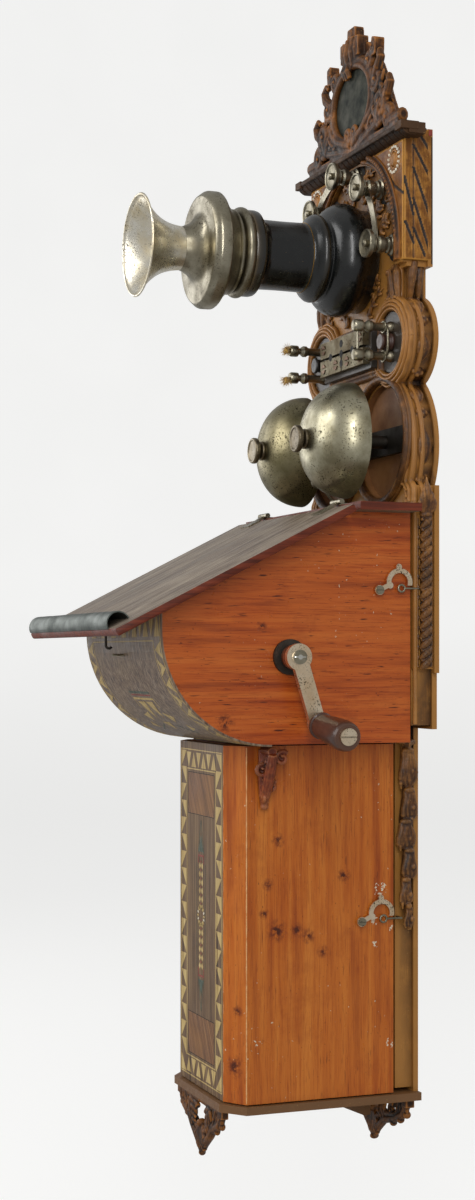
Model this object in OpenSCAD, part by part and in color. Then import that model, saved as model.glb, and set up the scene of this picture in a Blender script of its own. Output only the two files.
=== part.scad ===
// Wall crank telephone: a carved backboard that carries a transmitter, an
// arrester and two gongs, with a hinged magneto box and a hinged battery box.
// X runs to the right as seen from the front, the wall is the plane Y = 0,
// the front faces -Y, and Z = 0 is the height of the crank shaft.

/* [Backboard] */
// Half width of the board beside the magneto box
board_half_w = 100; // [98:1:102]
// Half width of the board behind the battery box
lower_half_w = 64; // [62:1:65]
// Thickness of the board beside the magneto box
board_t = 20; // [19:1:20]
// Thickness of the board behind the battery box
lower_board_t = 18; // [16:1:18]
// Height of the lower end of the board below the crank shaft
board_bottom = 331; // [331:1:333]
// Radius of the wall screw holes
wall_hole_r = 2.75; // [2.25:0.25:3]
// Height of the upper wall screw
upper_screw_z = 262; // [261:1:263]
// Height of the lower wall screw
lower_screw_z = -110; // [-120:1:-100]

/* [Magneto box] */
// Half width of the box
box_half_w = 95; // [94:1:96]
// Thickness of the box's sides
box_wall = 7; // [6:1:7]
// Distance of the box's front from the wall
box_front = 217; // [215:1:218]
// Underside of the box
box_bottom = -65; // [-65:1:-64]
// Radius of the curved front
curve_r = 85; // [82:1:86]
// Half width of the lid and of the top board
lid_half_w = 118; // [114:1:118]
// Thickness of the lid and of the top board
lid_t = 6; // [5:0.5:6]
// Slope of the lid in degrees
lid_slope = 27; // [26.5:0.25:27.5]

/* [Battery box] */
// Half width of the battery box
case_half_w = 66.5; // [65:0.5:67]
// Half width of the inlaid front panel
panel_half_w = 49; // [48:1:50]
// Distance of the inlaid front from the wall
case_front = 153; // [151:1:154]
// Underside of the battery box
case_bottom = -330; // [-330:1:-328]

/* [Crank] */
// Distance of the crank shaft from the wall
crank_y = 118.5; // [118.5:0.5:119]
// Distance from the shaft to the knob's spindle
throw = 50; // [44:1:50]
// Lean of the arm towards the wall in degrees
arm_lean = 17; // [0:1:20]
// Droop of the knob's spindle in degrees
knob_droop = 8; // [0:1:8]
// Length of the knob
knob_len = 49; // [44:1:49]
// Teeth on the crank's gear
gear_teeth = 48; // [44:2:48]
// Teeth on the armature's pinion
pinion_teeth = 12; // [10:2:12]

/* [Gongs] */
// Radius of each gong at its rim
gong_r = 44; // [42:0.5:44]
// Distance of each gong's centre from the middle
gong_x = 45; // [45:0.5:46]
// Height of the gongs' centres
gong_z = 165; // [164:1:166]
// Thickness of the gong metal
gong_t = 1.8; // [1.6:0.1:2]

/* [Transmitter] */
// Height of the transmitter's axis
horn_z = 312; // [311:1:313]
// Radius of the horn's rim
horn_r = 39; // [36:1:40]
// Radius of the capsule
capsule_r = 44.5; // [43:0.5:45]
// Radius of the arc on which the five terminals stand
terminal_ring_r = 66; // [65:1:66]

/* [Hidden] */
$fn = 64;

// Colours
brown = "#7a4a1e";
gilt_brown = "#8a5a26";
pine = "#b8541a";
walnut = "#5a4a42";
nickel = "#a8a49a";
black = "#1c1e20";
iron = "#3c3a38";
brass = "#b08d4a";

// Board
rear_layer = 4;
gable_half_w = 89;
gable_base = 293;
arch_r = 74;
gable_top = 396;
gable_front = 24;
cornice_half_w = 103;
crest_back = 19;
crest_front = 28;
plaque_z = 437;
plaque_half_w = 32;
plaque_half_h = 25.5;
ear_x = 64;
ear_z = 239;
ear_r = 35;
lobe_x = 36;
lobe_z = 158;
lobe_r = 64;
step_z = -54;

// Magneto box
break_y = 72;
top_z = 107;
box_rear = 21.5;
curve_y = box_front - curve_r;
curve_z = box_bottom + curve_r;
veneer = 1.5;
hammer_y = 40;
hammer_z = 58;
lid_hinge_x = 75;
lid_axis_z = top_z + lid_t + 2.2;
upper_hinge_x = -98.5;
upper_hinge_y = 25;
upper_hinge_z = [-36, 62];
lower_hinge_x = -69.8;
lower_hinge_y = 24;
lower_hinge_z = [-290, -125];
hinge_h = 30;
knuckle_r = 3;
hinge_pin_r = 1.2;

// Battery box
case_rear = 22;
case_side_front = 141;
case_top = box_bottom - 0.8;
case_wall = 7;

// Magneto
tooth_module = 1.5;
gear_r = gear_teeth * tooth_module / 2;
pinion_r = pinion_teeth * tooth_module / 2;
armature_y = crank_y + gear_r + pinion_r;
armature_r = 12.5;
shaft_r = 5;
journal_r = 3;
running_gap = 0.05;
plate_x = [-66, 52];
plate_t = 4;

// Crank
knob_y = crank_y - throw * sin(arm_lean);
knob_z = -throw * cos(arm_lean);
arm_x = 110;
arm_t = 4.6;
spindle_r = 3.5;
knob_start = 4;

// Gong
gong_rim_y = 50;
gong_depth = 35.5;

// ---------------------------------------------------------------- helpers

function arc(c, r, a0, a1, n) =
    [for (i = [0:n]) let (a = a0 + (a1 - a0) * i / n)
        [c[0] + r * cos(a), c[1] + r * sin(a)]];

function ellipse(z, rx, rz) = [for (i = [0:47]) [rx * cos(7.5 * i), z + rz * sin(7.5 * i)]];

function under_lid(y) = top_z - (y - break_y) * tan(lid_slope);

// A shape drawn in X and Z, from y = -front back to y = -back
module facing(back, front) {
    translate([0, -back, 0]) rotate([90, 0, 0]) linear_extrude(front - back) children();
}

// A shape drawn in Y and Z, from x0 to x0 + t
module sideways(x0, t) {
    translate([x0, 0, 0]) rotate([90, 0, 90]) linear_extrude(t) children();
}

// A shape drawn in X and Y, from z0 to z0 + t
module flat(z0, t) {
    translate([0, 0, z0]) linear_extrude(t) children();
}

// A turned shape whose axis runs forwards; its outline is radius and distance from the wall
module turned(x, z) {
    translate([x, 0, z]) rotate([90, 0, 0]) rotate_extrude() children();
}

module rod_y(x, z, back, front, r) {
    translate([x, -back, z]) rotate([90, 0, 0]) cylinder(h = front - back, r = r);
}

module rod_x(x0, x1, y, z, r) {
    translate([x0, y, z]) rotate([0, 90, 0]) cylinder(h = x1 - x0, r = r);
}

module rod_z(x, y, z0, z1, r) {
    translate([x, y, z0]) cylinder(h = z1 - z0, r = r);
}

module both_sides() {
    children();
    mirror([1, 0, 0]) children();
}

module box2d(half_w, z0, z1) {
    translate([-half_w, z0]) square([2 * half_w, z1 - z0]);
}

module ring2d(r_out, r_in) {
    difference() {
        circle(r = r_out);
        circle(r = r_in);
    }
}

// ---------------------------------------------------------------- backboard

module board_outline(inset) {
    box2d(lower_half_w - inset, -board_bottom + inset, step_z + 6);
    box2d(board_half_w - 4 - inset, step_z + inset, -6);
    box2d(board_half_w - inset, -12 + inset, 128);
    for (s = [-1, 1]) {
        translate([s * lobe_x, lobe_z]) circle(r = lobe_r - inset);
        translate([s * ear_x, ear_z]) circle(r = ear_r - inset);
    }
    box2d(77 - inset, 200, gable_base + 2);
    box2d(gable_half_w - inset, gable_base, gable_top - inset);
}

module arch_opening() {
    translate([0, horn_z]) circle(r = arch_r);
    box2d(arch_r, gable_base, horn_z);
}

module backboard() {
    color(gilt_brown) difference() {
        union() {
            facing(0, rear_layer) board_outline(0);
            facing(rear_layer, lower_board_t) board_outline(3);
            facing(lower_board_t, board_t) intersection() {
                board_outline(3);
                box2d(board_half_w, step_z + 3, gable_top);
            }
            facing(board_t, gable_front) difference() {
                box2d(gable_half_w - 3, gable_base + 3, gable_top);
                arch_opening();
            }
        }
        for (s = [-1, 1]) rod_y(s * gong_x, gong_z, 14, 30, 44);
        for (z = [upper_screw_z, lower_screw_z]) rod_y(0, z, -1, 30, wall_hole_r);
        rod_y(0, horn_z, -1, 30, 5);
    }
}

module gable_cornice() {
    color(brown) {
        facing(gable_front, 29) box2d(cornice_half_w - 5, 387, 391);
        facing(gable_front, 33) box2d(cornice_half_w, 391, 397);
        both_sides() facing(12, gable_front) translate([gable_half_w, 388])
            square([cornice_half_w - gable_half_w, 9]);
    }
}

module gable_arch() {
    color(brown) facing(gable_front, 28) intersection() {
        union() {
            translate([0, horn_z]) ring2d(arch_r + 8, arch_r);
            both_sides() translate([arch_r, gable_base + 5]) square([8, horn_z - gable_base - 5]);
        }
        box2d(board_half_w, gable_base + 5, 386.8);
    }
}

// A ring with an off-centre boss stands for each carved scroll
module scroll2d(r) {
    ring2d(r, r * 0.55);
    translate([r * 0.3, -r * 0.1]) circle(r = r * 0.34);
}

module crest_half() {
    translate([80, 397]) square([12, 15]);
    translate([68, 413]) scroll2d(13);
    translate([55, 430]) scroll2d(14);
    translate([43, 448]) scroll2d(11);
    translate([31.5, 464.5]) scroll2d(11);
    translate([17, 474]) scroll2d(9);
    translate([9, 485]) circle(r = 7);
}

module crest_carving() {
    color(brown) facing(crest_back, crest_front) difference() {
        union() {
            crest_half();
            mirror([1, 0]) crest_half();
            box2d(84, gable_top + 1, 403.5);
            polygon(ellipse(plaque_z, plaque_half_w + 7, plaque_half_h + 7));
            box2d(7, 468, 497);
        }
        polygon(ellipse(plaque_z, plaque_half_w, plaque_half_h));
    }
}

module oval_plaque() {
    color("#4c5450") facing(crest_back + 1, crest_front - 3)
        polygon(ellipse(plaque_z, plaque_half_w, plaque_half_h));
}

module ring_inlays() {
    beads = 16;
    bead_ring_r = 9.6;
    color("ivory") for (s = [-1, 1], i = [0:beads - 1]) {
        a = 360 * i / beads;
        rod_y(s * 74 + bead_ring_r * cos(a), 375 + bead_ring_r * sin(a), gable_front, 25, 1.5);
    }
}

module side_moulding() {
    for (i = [0:9]) {
        z = 6 + i * 12.2;
        rod_z(board_half_w - 2, -10.5, z - 5.8, z + 5.8, i % 2 == 0 ? 4.4 : 4.9);
    }
}

module side_mouldings() {
    color(gilt_brown) difference() {
        both_sides() side_moulding();
        translate([-board_half_w + 3, -30, -40]) cube([2 * board_half_w - 6, 40, 220]);
        rod_y(upper_eye_x, upper_eye_z, upper_eye_root, 20, eye_wire_r);
    }
}

module drop_carving() {
    half_w = lower_half_w - 3;
    for (i = [0:5]) {
        z = -68 - i * 26;
        rod_y(half_w + 3, z, 6, 16, 8 - i * 0.7);
    }
    translate([half_w, -15, -200]) cube([4, 8, 140]);
}

module drop_carvings() {
    color(gilt_brown) difference() {
        both_sides() drop_carving();
        translate([-lower_half_w + 3, -30, -260]) cube([2 * lower_half_w - 6, 30, 210]);
        translate([-board_half_w - 2, -30, step_z]) cube([2 * board_half_w + 4, 30, 40]);
    }
}

// ---------------------------------------------------------------- gongs

module gong_rings() {
    color(brown) for (s = [-1, 1]) turned(s * gong_x, gong_z + 1) polygon([
        [44.2, board_t], [51, board_t], [51, 22], [49, 26], [46, 26], [44.2, 23]
    ]);
}

module gong_bridges() {
    color(iron) for (s = [-1, 1]) {
        facing(14, 19) translate([s * gong_x - 42, gong_z - 10]) square([84, 20]);
        rod_y(s * gong_x, gong_z, 19, 92, 2.5);
        rod_y(s * gong_x, gong_z, 19, gong_rim_y + gong_depth - gong_t, 5);
    }
}

function bowl(r, depth, n) =
    [for (i = [0:n]) let (a = 4 + 86 * i / n)
        [r * pow(sin(a), 0.82), gong_rim_y + depth * cos(a)]];

module gong_shell() {
    outer = bowl(gong_r, gong_depth, 18);
    inner = bowl(gong_r - gong_t, gong_depth - gong_t, 18);
    polygon(concat(
        [[2.6, gong_rim_y + gong_depth]],
        outer,
        [for (i = [18:-1:0]) inner[i]],
        [[2.6, gong_rim_y + gong_depth - gong_t]]
    ));
}

module gong_left() {
    color(nickel) turned(-gong_x, gong_z) gong_shell();
}

module gong_right() {
    color(nickel) turned(gong_x, gong_z) gong_shell();
}

module gong_nuts() {
    pole = gong_rim_y + gong_depth;
    color(nickel) for (s = [-1, 1]) turned(s * gong_x, gong_z) polygon([
        [2.52, pole], [7.6, pole], [7.6, pole + 2], [5.5, pole + 4], [9.6, pole + 4],
        [10.4, pole + 5], [10.4, pole + 8], [9.6, pole + 9], [2.52, pole + 9]
    ]);
}

// ---------------------------------------------------------------- ringer

ringer_x = 18;

module ringer_coils() {
    color("#7c2e1e") for (s = [-1, 1]) {
        rod_z(s * ringer_x, -hammer_y, 10, 13, 14);
        rod_z(s * ringer_x, -hammer_y, 13, 47, 12);
        rod_z(s * ringer_x, -hammer_y, 47, 50, 14);
        rod_z(s * ringer_x, -hammer_y, 50, 52, 4);
    }
}

module ringer_frame() {
    color(iron) {
        difference() {
            union() {
                facing(board_t, 23) box2d(36, 4, 68);
                facing(23, hammer_y + 13) box2d(34, 4, 10);
                facing(23, 29) box2d(4, 50, 66);
            }
            for (s = [-1, 1], z = [16, 64]) rod_y(s * 31, z, 10, 40, 1.6);
        }
        rod_y(0, hammer_z, 29, 48, 1.5);
    }
}

module hammer() {
    color(iron) {
        difference() {
            union() {
                facing(hammer_y - 4, hammer_y + 4) box2d(28, hammer_z - 3, hammer_z + 3);
                rod_y(0, hammer_z, hammer_y - 5, hammer_y + 5, 4.5);
            }
            rod_y(0, hammer_z, hammer_y - 10, hammer_y + 10, 1.5 + running_gap);
        }
        rod_z(0, -hammer_y, hammer_z + 3, 119, 1.2);
        translate([0, -hammer_y, 119]) sphere(r = 1.3);
        translate([0, -hammer_y, 119]) rotate([41, 0, 0]) cylinder(h = 24, r = 1.2);
        translate([0, -hammer_y - 16, 137.5]) sphere(r = 5.5);
    }
}

// ---------------------------------------------------------------- transmitter

module transmitter_base() {
    color(black) turned(0, horn_z) polygon(concat(
        [[5, board_t], [40, board_t]],
        arc([26, 38], 18, -38, 62, 12),
        [[31.4, 55], [31.4, 57]],
        arc([29, 61], 5, -30, 90, 6),
        [[27.5, 67], [26.7, 69], [26.7, 107], [28, 109], [31, 110], [33, 112], [33, 119], [5, 119]]
    ));
}

module capsule_case() {
    color(nickel) turned(0, horn_z) polygon(concat(
        [[6, 119], [31, 119]],
        arc([30.6, 123], 4, -80, 80, 8),
        [[30.5, 128], [31.5, 130], [36, 137], [41, 141], [capsule_r, 144], [capsule_r, 151]],
        [[41, 156], [30, 155.5], [24, 158], [19, 163], [16.5, 170], [14.5, 170]],
        [[15, 163], [19, 155], [38, 154.4], [38, 149.5], [34, 149.5], [30, 133], [6, 131]]
    ));
}

module diaphragm() {
    color("#8c8a84") {
        rod_y(0, horn_z, 149.5, 150.1, 37.6);
        rod_y(0, horn_z, 143, 149.5, 9);
    }
    color(black) rod_y(0, horn_z, 131.5, 142.4, 12);
}

module mouthpiece() {
    wall = 1.4;
    flare = [for (i = [0:14]) let (t = i / 14)
        [16.5 + (horn_r - 16.5) * (0.16 * t + 0.84 * pow(t, 2.6)), 170 + 34 * t]];
    color(nickel) turned(0, horn_z) polygon(concat(
        flare,
        [for (i = [14:-1:0]) [flare[i][0] - wall, flare[i][1] + (i == 14 ? 0.5 : 0)]]
    ));
}

// ---------------------------------------------------------------- terminals

terminal_angles = [0, 45, 90, 135, 180];

module at_terminals() {
    for (a = terminal_angles) {
        translate([terminal_ring_r * cos(a), 0, terminal_ring_r * sin(a)]) children();
    }
}

module terminal_posts() {
    color(nickel) at_terminals() {
        turned(0, horn_z) polygon([
            [0, board_t], [8, board_t], [8, 25], [6.3, 25], [6.3, 36],
            [2.5, 36], [2.5, 46], [1.5, 47], [0, 47]
        ]);
    }
}

module terminal_nuts() {
    color(nickel) at_terminals() turned(0, horn_z) polygon([
        [2.55, 37.2], [5.8, 37.2], [6.4, 38.5], [5, 40.5], [9, 41.2], [10.7, 42],
        [10.7, 45], [9.6, 45.4], [7, 43.6], [2.55, 43.2]
    ]);
}

module strap2d(a0, a1) {
    difference() {
        polygon(concat(
            arc([0, 0], terminal_ring_r + 3.5, a0, a1, 12),
            arc([0, 0], terminal_ring_r - 3.5, a1, a0, 12)
        ));
        for (a = [a0, a1]) translate(terminal_ring_r * [cos(a), sin(a)]) circle(r = 2.55);
    }
    for (a = [a0, a1]) translate(terminal_ring_r * [cos(a), sin(a)]) ring2d(5, 2.55);
}

module terminal_links() {
    color(nickel) {
        facing(36.05, 37.15) translate([0, horn_z]) {
            strap2d(0, 45);
            strap2d(90, 135);
        }
        rod_z(ear_x, -50.4, 227, 251, 0.9);
    }
}

// ---------------------------------------------------------------- arrester

plate_half_w = 41.5;
plate_z = [225.5, 238, 240, 252.5];
plug_hole_r = 2.4;

module arrester_base() {
    color(brown) facing(board_t, 26) difference() {
        box2d(50, 217, 257.5);
        box2d(46, 221, 255);
    }
    color(black) facing(board_t, 31) box2d(45.6, 221.4, 254.6);
}

module arrester_plates() {
    color(nickel) facing(31, 36) difference() {
        union() {
            box2d(plate_half_w, plate_z[2], plate_z[3]);
            both_sides() translate([1.2, plate_z[0]]) square([plate_half_w - 1.2, plate_z[1] - plate_z[0]]);
        }
        for (x = [-21, 0, 21]) translate([x, 239]) circle(r = plug_hole_r);
        translate([0, 231.5]) circle(r = plug_hole_r);
        translate([0, 247]) circle(r = plug_hole_r);
    }
}

module arrester_screw() {
    difference() {
        rod_y(0, 0, 36, 37, 3);
        facing(36.4, 38) square([7, 0.8], center = true);
    }
}

module arrester_screws() {
    color("#6a5240") {
        for (x = [-35, 35]) translate([x, 0, 246.5]) arrester_screw();
        for (x = [-35, -11, 11, 35]) translate([x, 0, 231.5]) arrester_screw();
    }
}

// ---------------------------------------------------------------- line posts

post_z = [228, 250];

module beside_arrester() {
    difference() {
        children();
        facing(board_t - 1, 30) box2d(50.2, 216.8, 257.7);
        for (s = [-1, 1]) rod_y(s * gong_x, gong_z + 1, board_t - 1, 30, 51.2);
    }
}

module ear_rings() {
    color(brown) beside_arrester() for (s = [-1, 1]) turned(s * ear_x, ear_z) polygon(concat(
        [[24, board_t], [34, board_t]],
        arc([29, 20], 5, 20, 160, 8),
        [[24, board_t]]
    ));
    color(black) beside_arrester() for (s = [-1, 1]) rod_y(s * ear_x, ear_z, board_t, 22.5, 23);
    color(black) for (s = [-1, 1]) rod_y(s * ear_x, ear_z, 22.5, 32, 5);
}

module ear_posts() {
    color(nickel) for (s = [-1, 1], z = post_z) difference() {
        turned(s * ear_x, z) polygon([
            [0, 22.5], [4.6, 22.5], [4.2, 26], [3.2, 28], [3.2, 38], [4.4, 40],
            [4.4, 43], [2.6, 44.5], [2.6, 46], [4.6, 47], [4.6, 53], [3.6, 54.5], [0, 54.5]
        ]);
        translate([s * ear_x, -50.4, z - 8]) cylinder(h = 16, r = 1.2);
    }
}

module line_ends() {
    color("#a08a50") for (z = post_z) {
        rod_x(-ear_x - 3, -ear_x + 3, -57.5, z, 1.6);
        translate([-ear_x, -58, z - 8]) cylinder(h = 8, r = 2.6);
        rod_y(-ear_x, z, 54.5, 57, 1.6);
    }
}

// ---------------------------------------------------------------- shelf and aprons

shelf_t = 6;
shelf_top = -board_bottom;
shelf_front = case_front + 4;

module base_shelf() {
    half_w = case_half_w + 3.5;
    color(brown) {
        flat(shelf_top - shelf_t, shelf_t) polygon([
            [-half_w, 0], [half_w, 0], [half_w, -case_side_front - 1], [panel_half_w + 3, -shelf_front],
            [-panel_half_w - 3, -shelf_front], [-half_w, -case_side_front - 1]
        ]);
        sideways(-3, 6) polygon([
            [-12, shelf_top - shelf_t], [-75, shelf_top - shelf_t], [-18, -362], [-12, -362]
        ]);
    }
}

module apron_half() {
    translate([42, 0]) scroll2d(8);
    translate([29, -6]) scroll2d(10);
    translate([14, -14]) scroll2d(11);
    translate([0, -4]) square([50, 4]);
}

module front_apron() {
    z = shelf_top - shelf_t - 0.2;
    color(brown) {
        facing(case_front - 4, case_front + 2) translate([0, z]) intersection() {
            union() {
                apron_half();
                mirror([1, 0]) apron_half();
                translate([0, -25]) circle(r = 14);
                translate([0, -38]) circle(r = 8);
            }
            translate([-60, -60]) square([120, 60]);
        }
    }
}

module rear_apron() {
    z = shelf_top - shelf_t - 0.2;
    color(gilt_brown) facing(3, 11.5) translate([0, z]) intersection() {
        union() {
            apron_half();
            mirror([1, 0]) apron_half();
            both_sides() translate([56, -4]) circle(r = 8);
            translate([0, -24]) circle(r = 15);
            translate([0, -37]) circle(r = 9);
        }
        translate([-66, -60]) square([132, 60]);
    }
}

// ---------------------------------------------------------------- battery

jar_r = 25;
jar_h = 145;
jar_x = [-32, 20];
jar_y = 58;

module battery_jars() {
    color("#7f9c96", 0.6) for (x = jar_x) translate([x, -jar_y, shelf_top]) difference() {
        cylinder(h = jar_h, r = jar_r);
        translate([0, 0, 4]) cylinder(h = jar_h, r = jar_r - 2.5);
    }
}

module battery_plates() {
    for (x = jar_x) translate([x, -jar_y, shelf_top + 4]) {
        color(black) {
            translate([-14, -3, 0]) cube([20, 6, 160]);
            difference() {
                translate([0, 0, jar_h - 4]) cylinder(h = 4, r = jar_r);
                translate([-14.1, -3.1, jar_h - 5]) cube([20.2, 6.2, 6]);
                translate([14, 0, jar_h - 5]) cylinder(h = 6, r = 4.1);
            }
        }
        color(nickel) translate([14, 0, 0]) cylinder(h = 158, r = 4);
    }
}

// ---------------------------------------------------------------- hinges of the boxes

// Knuckles on the axis: the middle third belongs to the board, the ends to the box
module knuckle(x, y, z0, z1) {
    difference() {
        rod_z(x, -y, z0, z1, knuckle_r);
        rod_z(x, -y, z0 - 1, z1 + 1, hinge_pin_r + running_gap);
    }
}

module board_hinge(x, y, z, board_front) {
    third = hinge_h / 3;
    rod_z(x, -y, z + third + 0.3, z + 2 * third - 0.3, knuckle_r);
    rod_z(x, -y, z, z + hinge_h, hinge_pin_r);
    translate([x, -y + 0.6, z + third + 0.3]) cube([knuckle_r, y - 0.6 - board_front, third - 0.6]);
    translate([x, -board_front - 1.2, z]) cube([13, 1.2, hinge_h]);
}

module box_leaf(x, y, z, wall_x) {
    third = hinge_h / 3;
    knuckle(x, y, z, z + third);
    knuckle(x, y, z + 2 * third, z + hinge_h);
    difference() {
        translate([wall_x - 1.4, -y - 20, z]) cube([1.4, 20 - 2, hinge_h]);
        translate([wall_x - 2, -y - knuckle_r - 0.4, z + third]) cube([3, 10, third]);
        for (h = [6, 24])
            translate([wall_x - 2, -y - 14, z + h]) rotate([0, 90, 0]) cylinder(h = 3, r = 1.4);
    }
}

// A screw eye with its ring upright, in the plane of the hook that drops over it
eye_r = 2.6;
eye_wire_r = 0.8;
eye_ahead = 18;

module eye_screw(x, root_y, ring_y, z) {
    rod_y(x, z, root_y, ring_y - eye_r, eye_wire_r);
    translate([x, -ring_y, z]) rotate([0, 0, 90]) rotate([90, 0, 0]) rotate_extrude()
        translate([eye_r, 0]) circle(r = eye_wire_r);
}

upper_hook_y = 48;
upper_hook_z = 49.4;
lower_hook_y = 49.5;
lower_hook_z = -199;
upper_eye_x = 97.8;
lower_eye_x = 69.3;
upper_eye_z = upper_hook_z + 1.5;
lower_eye_z = lower_hook_z + 1.5;
upper_eye_root = 12;
lower_eye_root = lower_board_t - 1.1;

module board_hardware() {
    color(nickel) {
        for (z = upper_hinge_z) board_hinge(upper_hinge_x, upper_hinge_y, z, board_t);
        for (z = lower_hinge_z) board_hinge(lower_hinge_x, lower_hinge_y, z, lower_board_t);
        eye_screw(upper_eye_x, upper_eye_root, upper_hook_y - eye_ahead, upper_eye_z);
        eye_screw(lower_eye_x, lower_eye_root, lower_hook_y - eye_ahead, lower_eye_z);
        rod_x(lower_half_w - 3, lower_eye_x + eye_wire_r, -lower_eye_root, lower_eye_z, eye_wire_r);
    }
}

module pivot_screw(x, y, z) {
    rod_x(x, x + 4, -y, z, 1.5);
    difference() {
        rod_x(x + 3.9, x + 5, -y, z, 3.1);
        translate([x + 4.5, -y - 4, z - 0.4]) cube([1, 8, 0.8]);
    }
}

module upper_box_hardware() {
    color(nickel) {
        for (z = upper_hinge_z) box_leaf(upper_hinge_x, upper_hinge_y, z, -box_half_w);
        pivot_screw(box_half_w, upper_hook_y, upper_hook_z);
    }
}

module lower_box_hardware() {
    color(nickel) {
        for (z = lower_hinge_z) box_leaf(lower_hinge_x, lower_hinge_y, z, -case_half_w);
        pivot_screw(case_half_w, lower_hook_y, lower_hook_z);
    }
}

// ---------------------------------------------------------------- magneto box

module side_outline(inset) {
    polygon(concat(
        [[-box_rear, box_bottom + inset], [-curve_y, box_bottom + inset]],
        arc([-curve_y, curve_z], curve_r - inset, 270, 180, 24),
        [[-box_front + inset, under_lid(box_front - inset)], [-break_y, top_z], [-box_rear, top_z]]
    ));
}

module upper_case() {
    floor_t = 6;
    color(pine) {
        difference() {
            sideways(box_half_w - box_wall, box_wall) side_outline(veneer);
            rod_x(80, 100, -crank_y, 0, 10);
        }
        difference() {
            sideways(-box_half_w, box_wall) side_outline(veneer);
            translate([-100, -switch_y - 4, switch_z - 15]) cube([20, 8, 22]);
        }
        flat(box_bottom + veneer, floor_t) translate([-box_half_w + box_wall, -curve_y])
            square([2 * (box_half_w - box_wall), curve_y - box_rear]);
    }
}

staple_z = 1.5;
staple_r = 1.1;
staple_root = box_front - 4;

// Everything above the slope, cut away so that the front stops just under the lid
module above_lid_line() {
    gap = 0.4;
    polygon([
        [-box_front - 5, under_lid(box_front + 5) - gap], [-break_y, top_z - gap],
        [-break_y, 200], [-box_front - 5, 200]
    ]);
}

module curved_front() {
    panel_t = 7;
    inner_half_w = box_half_w - box_wall;
    color(walnut) difference() {
        union() {
            sideways(-box_half_w, 2 * box_half_w) difference() {
                side_outline(0);
                side_outline(veneer);
                translate([-curve_y, curve_z]) square([200, 200]);
                translate([-curve_y, box_bottom - 10]) square([200, 200]);
                above_lid_line();
            }
            sideways(-inner_half_w, 2 * inner_half_w) difference() {
                side_outline(veneer);
                side_outline(panel_t);
                translate([-curve_y, box_bottom - 10]) square([200, 200]);
                above_lid_line();
            }
        }
        rod_y(0, staple_z, staple_root, box_front, staple_r);
    }
}

module top_board() {
    color(walnut) flat(top_z, lid_t) difference() {
        translate([-lid_half_w + 1, -break_y + 0.2]) square([2 * lid_half_w - 2, break_y - 22.7]);
        translate([-8, -hammer_y - 6]) square([16, hammer_y]);
    }
}

// ---------------------------------------------------------------- lid

// The lid is drawn in its own slope: u runs down the lid from the break
module on_slope() {
    translate([0, -break_y, top_z]) rotate([lid_slope, 0, 0]) children();
}

lid_len = 205;

module lid_board() {
    gap = 0.3;
    color(walnut) on_slope() translate([-lid_half_w, -lid_len, gap])
        cube([2 * lid_half_w, lid_len - 3.2, lid_t - gap]);
}

module pen_rail() {
    rail_r = 9;
    rail_t = 0.9;
    color("#66706c") on_slope() translate([-lid_half_w, -lid_len + rail_r, lid_t])
        rotate([90, 0, 90]) linear_extrude(2 * lid_half_w - 18) {
            difference() {
                circle(r = rail_r);
                circle(r = rail_r - rail_t);
                translate([-rail_r - 1, -2 * rail_r]) square([4 * rail_r, 2 * rail_r]);
            }
            translate([rail_r - rail_t, 0]) square([6, rail_t]);
        }
}

// A screw eye that stands forward from a surface, its ring lying level
module staple(z, back, front) {
    rod_y(0, z, back, front, staple_r);
    translate([0, -front - 2.4, z]) rotate_extrude() translate([2.4, 0]) circle(r = 0.9);
}

// Fixed leaves and pins of the lid's hinges, the lid's staple and the switch bracket
module lid_plates() {
    color(nickel) for (s = [-1, 1]) translate([s * lid_hinge_x, -break_y, lid_axis_z]) {
        rod_x(-9, 9, 0, 0, 1);
        for (x = [-9, 3.2]) rod_x(x, x + 5.8, 0, 0, 2);
        difference() {
            translate([-9, 0, top_z + lid_t - lid_axis_z]) cube([18, 12, 1]);
            translate([-3.3, -1, -3]) cube([6.6, 4, 6]);
            for (x = [-6, 6]) rod_z(x, 8, -4, 4, 1.2);
        }
    }
    color(iron) {
        staple(staple_z, staple_root, box_front + 1.5);
        rod_y(switch_pivot_x, switch_z, switch_y - 7, switch_y + 7, 1.5);
        for (y = [switch_y - 7, switch_y + 5]) translate([-box_half_w + box_wall, -y - 2, switch_z - 6])
            cube([box_half_w - box_wall + switch_pivot_x + 4, 2, 12]);
    }
}

module lid_hardware() {
    color(nickel) for (s = [-1, 1]) translate([s * lid_hinge_x, -break_y, lid_axis_z]) {
        difference() {
            union() {
                rod_x(-2.9, 2.9, 0, 0, 2);
                sideways(-2.9, 5.8) polygon([[0, -1.9], [-1.9, 0], [-8.6, -4.6], [-6.6, -4.6]]);
            }
            rod_x(-4, 4, 0, 0, 1 + running_gap);
        }
        translate([0, 0, top_z - lid_axis_z]) rotate([lid_slope, 0, 0]) difference() {
            translate([-9, -16, lid_t]) cube([18, 12.6, 1]);
            for (x = [-6, 6]) translate([x, -10, 0]) cylinder(h = 20, r = 1.2);
        }
    }
    color(iron) translate([0, -lid_hook_y, lid_hook_z]) {
        rod_x(-2.6, 2.6, 0, 0, 1);
        for (x = [-2.6, 1.4]) sideways(x, 1.2) polygon([
            [-1.2, 0], [1.2, 0], [1.2, lid_hook_drop + 0.94], [-1.2, lid_hook_drop - 0.28]
        ]);
    }
}

lid_hook_y = box_front + 12;
lid_hook_drop = 3.2;
lid_hook_z = under_lid(lid_hook_y) - lid_hook_drop;

module lid_hook() {
    color(iron) translate([0, -lid_hook_y, lid_hook_z]) {
        difference() {
            union() {
                rod_x(-1, 1, 0, 0, 2.4);
                translate([0, 0, -15]) cylinder(h = 14, r = 1);
            }
            rod_x(-2, 2, 0, 0, 1 + running_gap);
        }
        translate([0, 2.4, -15]) rotate([90, 0, 90]) rotate([0, 0, 180]) rotate_extrude(angle = 150)
            translate([2.4, 0]) circle(r = 0.95);
    }
}

// ---------------------------------------------------------------- magneto

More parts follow.
